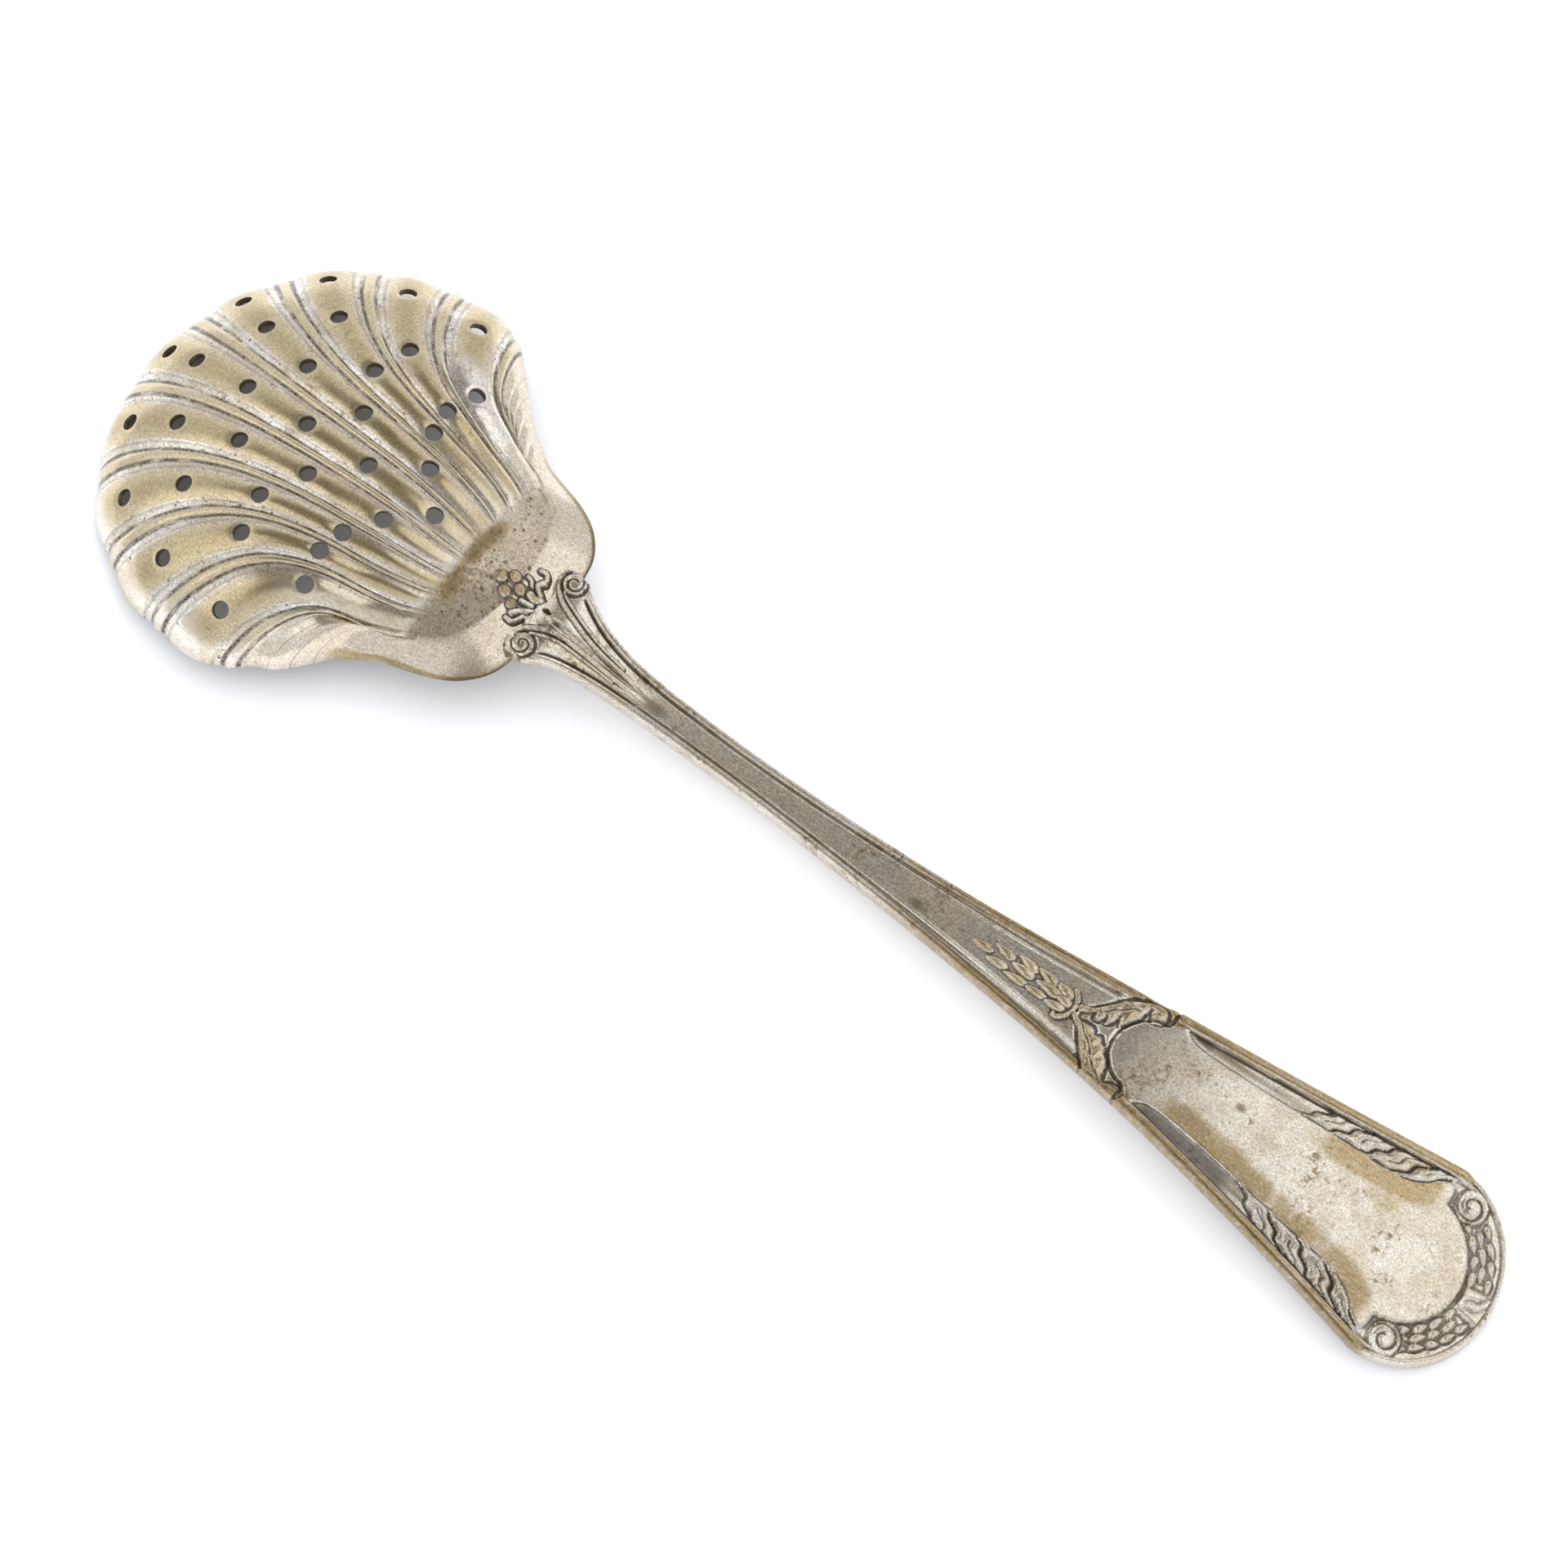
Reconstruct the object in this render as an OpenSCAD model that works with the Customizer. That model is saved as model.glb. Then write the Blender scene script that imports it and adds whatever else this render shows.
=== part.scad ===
// Shell-bowl sugar sifter: a serving spoon with a fluted, pierced scallop bowl and a struck handle.
// It lies as it does on a table with the back of the bowl up: +X runs from the bowl to the end of
// the handle, +Z is up, and the origin is on the table under the middle of the spoon.

/* [Spoon] */
// Length over all
spoon_len = 208.7; // [200:0.1:220]
// Slope of the bowl's rim away from the table, as rise over run
rim_slope = 0.118; // [0.1:0.002:0.13]

/* [Bowl] */
// Width of the bowl at its widest
bowl_w = 59.2; // [56:0.1:62]
// Height of the dome above its rim
dome_h = 10.8; // [9:0.1:12]
// Thickness of the sheet
wall = 0.9; // [0.7:0.1:1.2]
// How far each side pulls in at the waist
waist_dip = 3.4; // [2:0.1:4]
// How much longer the bowl is towards the heel than towards the tip
heel_reach = 6.4; // [5:0.1:7]
// Height of a flute over the valley beside it
flute_h = 0.7; // [0.4:0.1:0.9]
// Height of the narrow bead between two flutes, as a part of the flute's height
bead_part = 0.5; // [0.3:0.1:0.7]

/* [Holes] */
// Diameter of a sifting hole
hole_d = 2.3; // [1.8:0.1:2.5]
// Holes on the middle flute; each flute outwards has one fewer
middle_holes = 6; // [4:1:6]
// Pierced flutes on each side of the middle one
side_flutes = 4; // [2:1:4]

/* [Handle] */
// Least width of the shaft
shaft_w = 5; // [4.4:0.1:6]
// Width of the handle at its widest
end_w = 26; // [23:0.5:28]
// Length of the rounded end
end_round = 11.7; // [10:0.1:13]
// Thickness of the shaft
shaft_t = 2.3; // [2:0.1:2.6]
// Thickness of the rounded end
end_t = 1.8; // [1.5:0.1:2.1]
// Height of the raised border
border_h = 0.35; // [0.2:0.05:0.5]
// Depth of the channels beside the cartouche
channel_d = 0.5; // [0.3:0.1:0.7]

/* [Solder] */
// Thickness of the silver solder under the handle's root
solder_t = 0.15; // [0.1:0.05:0.25]

/* [Hidden] */

// Bowl: the outline is a radius about the widest point, given by the angle from the tip.
bowl_r = bowl_w / 2;
bowl_cx = bowl_r;
waist_at = 128;
waist_span = 30;
ear_from = 140;
ear_to = 166;
heel_from = 125;
heel_to = 168;
// The dome is dome_h * (1 - rho^power)^root, steep at the rim and soft at the heel.
rim_power = 2.6;
rim_root = 0.55;
heel_power = 2.8;
heel_root = 1.5;

// Flutes: they fan out from a focus under the heel. A flute's number comes from the angle a at
// which it meets the rim, as flute_a * a + flute_b * a * a. On its way there it runs sideways
// by fan_early close to the focus, by fan_even all along, and by the rest towards the rim.
focus_x = 60;
flute_a = 0.079;
flute_b = 0.000169;
fan_early = 0.3;
fan_reach = 0.09;
fan_even = 0.23;
fan_power = 5;
// Flute lines that meet the rim at more than fan_turn fan out earlier, up to fan_most
fan_turn = 24;
fan_most = 60;
fan_early_more = 0.0000065;
fan_power_more = 0.1;
// Half widths of a flute and of the bead between two flutes, as parts of their spacing
flute_half = 0.41;
bead_half = 0.1;
// The last, unpierced flute at each side: where it starts, is full and ends, as flute numbers
side_from = 4.68;
side_full = 4.95;
flute_last = 5.4;
side_part = 0.75;
// Distances from the focus over which the flutes rise out of the plain heel
flute_start = 5.8;
flute_full = 8.4;
// Places of the holes of each flute, as parts of the way from the focus to the rim
HOLE_WAYS = [[0.953, 0.87, 0.723, 0.557, 0.39, 0.213], [0.946, 0.836, 0.682, 0.502, 0.301],
             [0.95, 0.825, 0.637, 0.406], [0.94, 0.767, 0.529], [0.94, 0.7]];

// Handle: the waisted shaft widens as a power of the distance from its thinnest place.
root_x = 57.5;
root_round = 3;
root_half = 6.4;
root_fall = 5.2;
thin_x = 92;
widen_power = 1.84;
wide_x = spoon_len - flute_h - end_round;
root_lap = 0.6;
crown_t = 0.25;
border_w = 0.9;
channel_x = 160;
channel_end = 196;
channel_run = 5;
// Height of the top of the handle along its length, as [x, z]
SPINE = [[52, 12], [66, 8.7], [77, 6], [88, 5.25], [104, 5.1], [128, 5.6], [148, 6.5], [164, 6.6],
         [186, 4.9], [wide_x + end_round, end_t], [wide_x + end_round + 16, -0.6]];

// Mesh resolution
bowl_rings = 18;
flute_spokes = 8;
ear_spokes = 28;
shaft_steps = 50;
root_steps = 10;
end_steps = 10;
top_steps = 16;
seam_steps = 10;
step = 0.05;
over = 2.5;

// x is measured from the rim's circle at the tip, and the flutes stand out beyond it.
end_x = spoon_len - flute_h;
middle_x = end_x - spoon_len / 2;

function mix(a, b, t) = a + (b - a) * t;
function clamp01(t) = min(1, max(0, t));
function smooth(a, b, x) = let (t = clamp01((x - a) / (b - a))) t * t * (3 - 2 * t);
function bump(t) = abs(t) < 1 ? pow(1 - t * t, 2) : 0;

// Radius of the bowl's outline at angle phi from the tip, without the flutes
function outline_r(phi) =
    bowl_r - waist_dip * bump((abs(phi) - waist_at) / waist_span)
    + heel_reach * smooth(ear_from, ear_to, abs(phi));

// Distance from the focus to the rim's circle, at angle a from the spoon's axis
function rim_reach(a) =
    let (c = focus_x - bowl_cx, b = min(abs(a), 70))
    c * cos(b) + sqrt(max(0, bowl_r * bowl_r - pow(c * sin(b), 2)));

// How far sideways a flute line has run at d of its way to the rim, which it meets at angle a
function spread(d, a) =
    let (extra = min(fan_most, max(fan_turn, abs(a))) - fan_turn,
         early = fan_early + fan_early_more * pow(extra, 3))
    early * (1 - exp(-d / fan_reach)) + fan_even * d
    + (1 - fan_even - early) * pow(d, fan_power + fan_power_more * extra);

// Angle from the focus at which flute k meets the rim: 0 is the middle flute
function flute_angle(k) = (sqrt(flute_a * flute_a + 4 * flute_b * k) - flute_a) / (2 * flute_b);

// Height across a flute and the beads beside it, 0 in the valleys and 1 on the crest
function flute_profile(k) =
    let (f = abs(k - round(k)), b = (0.5 - f) / bead_half)
    k > flute_last ? 0
    : k > side_from
    ? side_part * smooth(side_from, side_full, k) * (1 - smooth(side_full, flute_last, k))
    : f < flute_half ? cos(90 * f / flute_half)
    : b < 1 ? bead_part * cos(90 * b) : 0;

// Height of flute k at d of the way from the focus to the rim, over plan point p
function flute_height(k, d, p) =
    flute_h * smooth(flute_start, flute_full, focus_x - p[0]) * min(1, 0.4 + d) * flute_profile(k);

// Part of the dome's height left at rho of the way out at angle phi
function dome(rho, phi) =
    let (s = smooth(heel_from, heel_to, abs(phi)))
    pow(max(0, 1 - pow(min(1, rho), mix(rim_power, heel_power, s))), mix(rim_root, heel_root, s));

// Height of the rim's plane over the table
function rim_z(x) = rim_slope * (x + flute_h);

// A point of the bowl over a plan point, raised by the flutes; inset moves it in through the sheet
function bowl_point(p, raise, inset) =
    let (phi = atan2(p[1], bowl_cx - p[0]),
         r0 = outline_r(phi),
         rho = norm([p[0] - bowl_cx, p[1]]) / r0,
         r = rho * (r0 + raise - inset),
         x = bowl_cx - r * cos(phi))
    [x - middle_x, r * sin(phi), rim_z(x) + (dome_h + raise - inset) * dome(rho, phi)];

// Plan point of the outline at angle phi
function outline_at(phi) =
    let (r = outline_r(phi)) [bowl_cx - r * cos(phi), r * sin(phi)];

// Plan point at d of the way along the flute line that meets the outline at p
function flute_line(p, d) =
    [focus_x - d * (focus_x - p[0]), spread(d, atan2(p[1], focus_x - p[0])) * p[1]];

// Height of the bowl's smooth outer surface at a plan point measured from the tip
function bowl_z(x, y) =
    let (phi = atan2(y, bowl_cx - x), rho = norm([x - bowl_cx, y]) / outline_r(phi))
    rim_z(x) + dome_h * dome(rho, phi);

// Place of a hole on flute k, at d of the way from the focus to the rim
function hole_place(k, d) =
    let (a = flute_angle(k))
    flute_line([focus_x - rim_reach(a) * cos(a), rim_reach(a) * sin(a)], d);

// Half width of the handle, and the height of its top along the spine
function handle_half(x) =
    x < root_x + root_round
    ? root_half * sqrt(max(0, 1 - pow((root_x + root_round - x) / root_round, 2)) * 0.9 + 0.1)
    : x > wide_x
    ? end_w / 2 * sqrt(max(0.004, 1 - pow((x - wide_x) / end_round, 2)))
    : let (flare = (root_half - shaft_w / 2) * exp(-max(0, x - 66) / root_fall),
           grow = pow(max(0, x - thin_x) / (wide_x - thin_x), widen_power))
      shaft_w / 2 + flare + (end_w - shaft_w) / 2 * grow;

function spine_at(x, i = 1) =
    i < len(SPINE) - 3 && x > SPINE[i + 1][0] ? spine_at(x, i + 1)
    : let (p = SPINE[i - 1], q = SPINE[i], r = SPINE[i + 1], s = SPINE[i + 2],
           h = r[0] - q[0],
           t = clamp01((x - q[0]) / h),
           m0 = h * (r[1] - p[1]) / (r[0] - p[0]),
           m1 = h * (s[1] - q[1]) / (s[0] - q[0]))
      (2 * t * t * t - 3 * t * t + 1) * q[1] + (t * t * t - 2 * t * t + t) * m0
      + (3 * t * t - 2 * t * t * t) * r[1] + (t * t * t - t * t) * m1;

function handle_t(x) = mix(shaft_t, end_t, smooth(120, 190, x));

// Relief of the struck side: a raised border, and the channels beside the cartouche
function relief(x, y) =
    let (edge = handle_half(x) - abs(y),
         run = smooth(channel_x, channel_x + channel_run, x)
               * (1 - smooth(channel_end - channel_run, channel_end, x)),
         mid = handle_half(x) * 0.3)
    x < root_x + 2 ? 0
    : border_h * bump((edge - border_w * 0.6) / border_w)
      - channel_d * run * bump((edge - border_w * 1.6 - mid / 2) / (mid / 2 + 0.3));

function root_part(x) = 1 - smooth(62, 72, x);

function handle_top(x, y) =
    mix(spine_at(x), bowl_z(x, y) + solder_t + root_lap + 0.9 * smooth(root_x, 68, x), root_part(x))
    + relief(x, y);

function handle_bottom(x, y) =
    let (v = y / handle_half(x),
         free = spine_at(x) - handle_t(x) - crown_t * (1 - v * v) * smooth(70, 90, x)
                * (1 - smooth(150, 200, x)))
    mix(free, bowl_z(x, y) + solder_t, 1 - smooth(64.5, 74, x));

// Stations along the handle, close together where its outline turns
STATIONS = [
    for (i = [0 : root_steps - 1]) root_x + root_round * (1 - cos(90 * i / root_steps)),
    for (i = [0 : shaft_steps - 1]) mix(root_x + root_round, wide_x, i / shaft_steps),
    for (i = [0 : end_steps]) wide_x + end_round * sin(86 * i / end_steps)
];
// Places across the handle, close together at the border
ACROSS = [for (i = [-top_steps / 2 : top_steps / 2]) sin(90 * i / (top_steps / 2))];

// Closed mesh over a grid: rows of top points, and the same rows of bottom points under them
module slab(top, bottom) {
    rows = len(top);
    cols = len(top[0]);
    under = rows * cols;
    function at(i, j) = i * cols + j;
    polyhedron(
        points = concat([for (r = top) each r], [for (r = bottom) each r]),
        faces = concat(
            [for (i = [0 : rows - 2]) for (j = [0 : cols - 2]) each [
                [at(i, j), at(i, j + 1), at(i + 1, j)],
                [at(i, j + 1), at(i + 1, j + 1), at(i + 1, j)],
                [under + at(i, j), under + at(i + 1, j), under + at(i, j + 1)],
                [under + at(i, j + 1), under + at(i + 1, j), under + at(i + 1, j + 1)]]],
            [for (i = [0 : rows - 2]) each [
                [at(i, 0), at(i + 1, 0), under + at(i + 1, 0)],
                [at(i, 0), under + at(i + 1, 0), under + at(i, 0)],
                [at(i, cols - 1), under + at(i + 1, cols - 1), at(i + 1, cols - 1)],
                [at(i, cols - 1), under + at(i, cols - 1), under + at(i + 1, cols - 1)]]],
            [for (j = [0 : cols - 2]) each [
                [at(0, j), under + at(0, j), under + at(0, j + 1)],
                [at(0, j), under + at(0, j + 1), at(0, j + 1)],
                [at(rows - 1, j), under + at(rows - 1, j + 1), under + at(rows - 1, j)],
                [at(rows - 1, j), at(rows - 1, j + 1), under + at(rows - 1, j + 1)]]]));
}

// Places round the outline where the mesh's spokes end: several across each flute, and then
// evenly round the ears and the heel. Each is [angle from the bowl's middle, flute number].
function rim_phi(a) =
    let (c = focus_x - bowl_cx, d = rim_reach(a))
    atan2(d * sin(a), d * cos(a) - c);
SIDE_SPOKES = concat(
    [for (i = [1 : floor(flute_last * flute_spokes)])
        [rim_phi(flute_angle(i / flute_spokes)), i / flute_spokes]],
    [let (from = rim_phi(flute_angle(flute_last))) for (i = [1 : ear_spokes])
        [mix(from, 180, i / ear_spokes), flute_last + 1]]);
SPOKES = concat(
    [[0, 0]],
    SIDE_SPOKES,
    [for (i = [len(SIDE_SPOKES) - 2 : -1 : 0]) [-SIDE_SPOKES[i][0], SIDE_SPOKES[i][1]]]);

module bowl_sheet() {
    n = len(SPOKES);
    inner = 1 + bowl_rings * n;
    function at(i, j) = i == 0 ? 0 : 1 + (i - 1) * n + j % n;
    function skin(inset) = [
        bowl_point([focus_x, 0], 0, inset),
        for (i = [1 : bowl_rings]) for (s = SPOKES)
            let (d = sin(90 * i / bowl_rings), p = flute_line(outline_at(s[0]), d))
            bowl_point(p, flute_height(s[1], d, p), inset)];
    polyhedron(
        points = concat(skin(0), skin(wall)),
        faces = concat(
            [for (j = [0 : n - 1]) each [
                [0, at(1, j), at(1, j + 1)],
                [inner, inner + at(1, j + 1), inner + at(1, j)],
                [at(bowl_rings, j), inner + at(bowl_rings, j), inner + at(bowl_rings, j + 1)],
                [at(bowl_rings, j), inner + at(bowl_rings, j + 1), at(bowl_rings, j + 1)]]],
            [for (i = [1 : bowl_rings - 1]) for (j = [0 : n - 1]) each [
                [at(i, j), at(i + 1, j), at(i + 1, j + 1)],
                [at(i, j), at(i + 1, j + 1), at(i, j + 1)],
                [inner + at(i, j), inner + at(i + 1, j + 1), inner + at(i + 1, j)],
                [inner + at(i, j), inner + at(i, j + 1), inner + at(i + 1, j + 1)]]]));
}

// One punched hole, square to the sheet at a plan point
module punch(place) {
    x = place[0];
    y = place[1];
    slope = [(bowl_z(x + step, y) - bowl_z(x - step, y)) / (2 * step),
             (bowl_z(x, y + step) - bowl_z(x, y - step)) / (2 * step)];
    translate([x - middle_x, y, bowl_z(x, y)])
        rotate([0, atan(norm(slope)), atan2(-slope[1], -slope[0])])
            cylinder(d = hole_d, h = 2 * over, center = true, $fn = 48);
}

module bowl() {
    color("darkkhaki")
    difference() {
        bowl_sheet();
        for (k = [0 : side_flutes], i = [0 : 1 : middle_holes - 1 - k], side = k == 0 ? [1] : [-1, 1])
            let (p = hole_place(k, HOLE_WAYS[k][i])) punch([p[0], side * p[1]]);
    }
}

module handle() {
    function row(x, top) = [for (v = ACROSS)
        let (y = v * handle_half(x)) [x - middle_x, y, top ? handle_top(x, y) : handle_bottom(x, y)]];
    color("rosybrown")
        slab([for (x = STATIONS) row(x, true)], [for (x = STATIONS) row(x, false)]);
}

// The solder fills the lap between the handle's root and the back of the bowl's heel
module solder_seam() {
    function row(x, lift) = [for (v = ACROSS)
        let (y = v * (handle_half(x) - 0.2)) [x - middle_x, y, bowl_z(x, y) + lift]];
    xs = [for (i = [0 : seam_steps]) mix(root_x + 0.4, 2 * bowl_r + heel_reach - 1, i / seam_steps)];
    color("gainsboro")
        slab([for (x = xs) row(x, solder_t)], [for (x = xs) row(x, 0)]);
}

bowl();
handle();
solder_seam();
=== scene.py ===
"""Visual model of the shell sugar sifter spoon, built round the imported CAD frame.

Plan places are in millimetres: x runs from the bowl's tip to the handle's end, y across.
"""
import math

import bmesh
import bpy
import numpy as np
from mathutils import Matrix, Vector
from mathutils.kdtree import KDTree


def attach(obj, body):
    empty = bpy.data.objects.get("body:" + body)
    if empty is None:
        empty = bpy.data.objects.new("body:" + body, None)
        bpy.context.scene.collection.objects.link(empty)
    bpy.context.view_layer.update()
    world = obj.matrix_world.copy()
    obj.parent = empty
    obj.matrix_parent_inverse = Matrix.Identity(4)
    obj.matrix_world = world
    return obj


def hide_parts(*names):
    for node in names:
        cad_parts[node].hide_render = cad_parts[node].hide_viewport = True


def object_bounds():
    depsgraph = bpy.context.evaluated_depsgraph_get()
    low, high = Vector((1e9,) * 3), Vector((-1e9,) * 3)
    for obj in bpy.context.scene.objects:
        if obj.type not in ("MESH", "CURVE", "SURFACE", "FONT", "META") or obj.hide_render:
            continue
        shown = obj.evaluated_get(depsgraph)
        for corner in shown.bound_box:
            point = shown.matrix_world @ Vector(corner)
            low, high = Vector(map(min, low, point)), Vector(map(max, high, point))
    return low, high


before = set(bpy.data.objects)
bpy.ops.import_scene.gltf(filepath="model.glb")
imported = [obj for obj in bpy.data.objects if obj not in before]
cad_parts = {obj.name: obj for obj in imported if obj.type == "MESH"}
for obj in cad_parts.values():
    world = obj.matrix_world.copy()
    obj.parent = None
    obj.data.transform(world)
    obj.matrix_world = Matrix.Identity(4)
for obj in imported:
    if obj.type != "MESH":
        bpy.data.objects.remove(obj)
CAD_LOW, CAD_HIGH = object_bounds()

MM = 0.001

# -------- driving sizes, in millimetres
SPOON_LEN = (CAD_HIGH.x - CAD_LOW.x) / MM
BOWL_W = 59.2
DOME_H = 10.8
WALL = 0.9
RIM_SLOPE = 0.118
FLUTE_H = 0.7
BOWL_R = BOWL_W / 2
FOCUS_X = 60.0
END_X = SPOON_LEN - FLUTE_H
MIDDLE_X = END_X - SPOON_LEN / 2

END_W = 26.0
END_ROUND = 11.7
WIDE_X = END_X - END_ROUND
SHAFT_W = 5.0
SHAFT_T = 2.3
END_T = 1.8
ROOT_X = 57.5
ROOT_HALF = 6.4


# -------- small maths
def mix(a, b, t):
    return a + (b - a) * t


def smooth(a, b, x):
    """Runs softly from 0 at a to 1 at b, whichever is the larger."""
    t = np.clip((x - a) / (b - a), 0, 1)
    return t * t * (3 - 2 * t)


def within(x, a, b, c, d):
    """1 from b to c, fading out to 0 at a and at d."""
    return smooth(a, b, x) * smooth(d, c, x)


def bump(t):
    return np.where(np.abs(t) < 1, (1 - t * t) ** 2, 0.0)


def dome_shape(t2):
    """Half-round height for a squared distance, 1 in the middle and 0 from 1 outwards."""
    return np.sqrt(np.clip(1 - t2, 0, 1))


def half_round(d, half, height):
    """Height of a rounded ridge at a distance from its middle line."""
    return height * dome_shape((d / half) ** 2)


def spot(x, y, cx, cy, rx, ry):
    """Distance from a place, as parts of an ellipse's radii."""
    return np.hypot((x - cx) / rx, (y - cy) / ry)


def arc(cx, cy, radius, angles):
    """Plan points on an arc, at angles in degrees."""
    return [(cx + radius * math.cos(a), cy + radius * math.sin(a)) for a in np.radians(angles)]


def spline(points, per_span=6):
    """Smooth curve through plan points."""
    p = np.array(points, float)
    p = np.vstack([2 * p[0] - p[1], p, 2 * p[-1] - p[-2]])
    t = np.linspace(0, 1, per_span, endpoint=False)[:, None]
    out = []
    for a, b, c, d in zip(p, p[1:], p[2:], p[3:]):
        out.append(b + 0.5 * t * (c - a + t * (2 * a - 5 * b + 4 * c - d + t * (3 * (b - c) + d - a))))
    return np.vstack(out + [p[-2:-1]])


def from_line(x, y, a, b):
    """Distance of points from the line between a and b, and how far along it they lie."""
    dx, dy = b[0] - a[0], b[1] - a[1]
    t = np.clip(((x - a[0]) * dx + (y - a[1]) * dy) / (dx * dx + dy * dy + 1e-12), 0, 1)
    return np.hypot(x - a[0] - t * dx, y - a[1] - t * dy), t


def path_distance(x, y, path):
    """Distance to an open path, and how far along it (0 to 1) the nearest point is."""
    best = np.full(x.shape, 1e9)
    along = np.zeros(x.shape)
    for i, (a, b) in enumerate(zip(path, path[1:])):
        d, t = from_line(x, y, a, b)
        along = np.where(d < best, (i + t) / (len(path) - 1), along)
        best = np.minimum(d, best)
    return best, along


def inside_distance(x, y, loop):
    """Signed distance to a closed outline, positive inside."""
    best = np.full(x.shape, 1e9)
    inside = np.zeros(x.shape, bool)
    for a, b in zip(loop, np.roll(loop, -1, axis=0)):
        best = np.minimum(best, from_line(x, y, a, b)[0])
        if a[1] != b[1]:
            crosses = (a[1] > y) != (b[1] > y)
            inside ^= crosses & (x < (b[0] - a[0]) * (y - a[1]) / (b[1] - a[1]) + a[0])
    return np.where(inside, best, -best)


def soften(grid, times):
    """Repeated one-two-one smoothing over a grid of values."""
    for _ in range(times):
        p = np.pad(grid, 1, mode="edge")
        grid = (p[:-2, 1:-1] + p[2:, 1:-1] + p[1:-1, :-2] + p[1:-1, 2:] + 4 * p[1:-1, 1:-1]) / 8
    return grid


# -------- meshes
def grid_faces(index, flip=False):
    """Four-sided faces of a grid of point numbers."""
    a, b, c, d = index[:-1, :-1], index[1:, :-1], index[1:, 1:], index[:-1, 1:]
    corners = (a, d, c, b) if flip else (a, b, c, d)
    return np.stack(corners, -1).reshape(-1, 4).tolist()


def closed(grid):
    """The grid with its first column repeated after the last."""
    return np.hstack([grid, grid[:, :1]])


def border(grid):
    """The entries round the edge of a grid, in order."""
    return np.concatenate([grid[:, -1], grid[-1, -2::-1], grid[-2::-1, 0], grid[0, 1:-1]])


def mesh_object(name, points, faces):
    """Makes a closed piece, riding the body, from millimetre points measured from the tip."""
    v = np.array(points, float)
    v[:, 0] -= MIDDLE_X
    mesh = bpy.data.meshes.new(name)
    mesh.from_pydata((v * MM).tolist(), [], faces)
    bm = bmesh.new()
    bm.from_mesh(mesh)
    bmesh.ops.recalc_face_normals(bm, faces=bm.faces)
    if bm.calc_volume(signed=True) < 0:
        bmesh.ops.reverse_faces(bm, faces=bm.faces)
    bm.to_mesh(mesh)
    bm.free()
    obj = bpy.data.objects.new(name, mesh)
    bpy.context.scene.collection.objects.link(obj)
    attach(obj, "root")
    return obj


def mesh_points(obj):
    """Points of a mesh in the tip's millimetres."""
    v = np.empty(len(obj.data.vertices) * 3)
    obj.data.vertices.foreach_get("co", v)
    v = v.reshape(-1, 3) / MM
    v[:, 0] += MIDDLE_X
    return v


def set_values(obj, named):
    """Stores numbers per point for the materials, by name."""
    for name, values in named.items():
        layer = obj.data.attributes.new(name, "FLOAT", "POINT")
        layer.data.foreach_set("value", np.asarray(values, np.float32).ravel())


def shade(obj, angle):
    """Smooth shading with sharp edges kept where faces meet at more than the angle."""
    obj.data.shade_smooth()
    obj.data.set_sharp_from_angle(angle=math.radians(angle))


# -------- bowl shape
HOLE_R = 1.15
# The waists are dips in the round outline, and the heel reaches out beyond it. Their places are
# directions from the bowl's middle, in degrees from the tip.
WAIST_DIP = 3.4
WAIST_AT = 128
WAIST_HALF = 30
HEEL_REACH = 6.4
HEEL_START = 140
HEEL_END = 166
# How much thicker the wall is at the heel's edge, as part of WALL
HEEL_EDGE = 0.5
# Where the heel's long, low slope takes over from the steep dome
HEEL_FROM = 125
HEEL_FULL = 168
DOME_POWERS = (2.6, 0.55)
HEEL_POWERS = (2.8, 1.5)
# A flute's angle at the focus is the root of FLUTE_B a^2 + FLUTE_A a = its number
FLUTE_A = 0.079
FLUTE_B = 0.000169
FLUTE_LAST = 5.4
# Half widths of a lobe, of its worn crest and of a bead, as parts of a flute
LOBE_HALF = 0.41
CREST_HALF = 0.29
BEAD_HALF = 0.1
# The side ribs begin at flute number SIDE_FROM, RIB_GAP apart
SIDE_FROM = 4.66
RIB_GAP = 0.27
GROOVE_X = 53.6


def polar(x, y):
    """Direction from the bowl's middle, in degrees from the tip, and distance."""
    return np.degrees(np.arctan2(y, BOWL_R - x)), np.hypot(x - BOWL_R, y)


def outline_r(phi):
    return (BOWL_R - WAIST_DIP * bump((np.abs(phi) - WAIST_AT) / WAIST_HALF)
            + HEEL_REACH * smooth(HEEL_START, HEEL_END, np.abs(phi)))


def rim_reach(angle):
    """Distance from the focus to the round rim."""
    c = FOCUS_X - BOWL_R
    b = np.radians(np.minimum(np.abs(angle), 70))
    return c * np.cos(b) + np.sqrt(np.maximum(0, BOWL_R**2 - (c * np.sin(b)) ** 2))


def spread(t, angle):
    """How far sideways a flute line has run at t of its way from the focus to the rim."""
    extra = np.clip(angle - 24, 0, 36)
    early = 0.30 + 0.0000065 * extra**3
    steady = 0.23
    return (early * (1 - np.exp(-t / 0.09)) + steady * t
            + (1 - steady - early) * t ** (5 + 0.1 * extra))


def flute_angle(k):
    return (np.sqrt(FLUTE_A**2 + 4 * FLUTE_B * k) - FLUTE_A) / (2 * FLUTE_B)


def dome(rho, phi):
    s = smooth(HEEL_FROM, HEEL_FULL, np.abs(phi))
    inner, outer = (mix(a, b, s) for a, b in zip(DOME_POWERS, HEEL_POWERS))
    return np.maximum(0, 1 - np.minimum(1, rho) ** inner) ** outer


def rim_z(x):
    return RIM_SLOPE * (x + FLUTE_H)


def bowl_z(x, y):
    phi, r = polar(x, y)
    return rim_z(x) + DOME_H * dome(r / outline_r(phi), phi)


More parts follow.
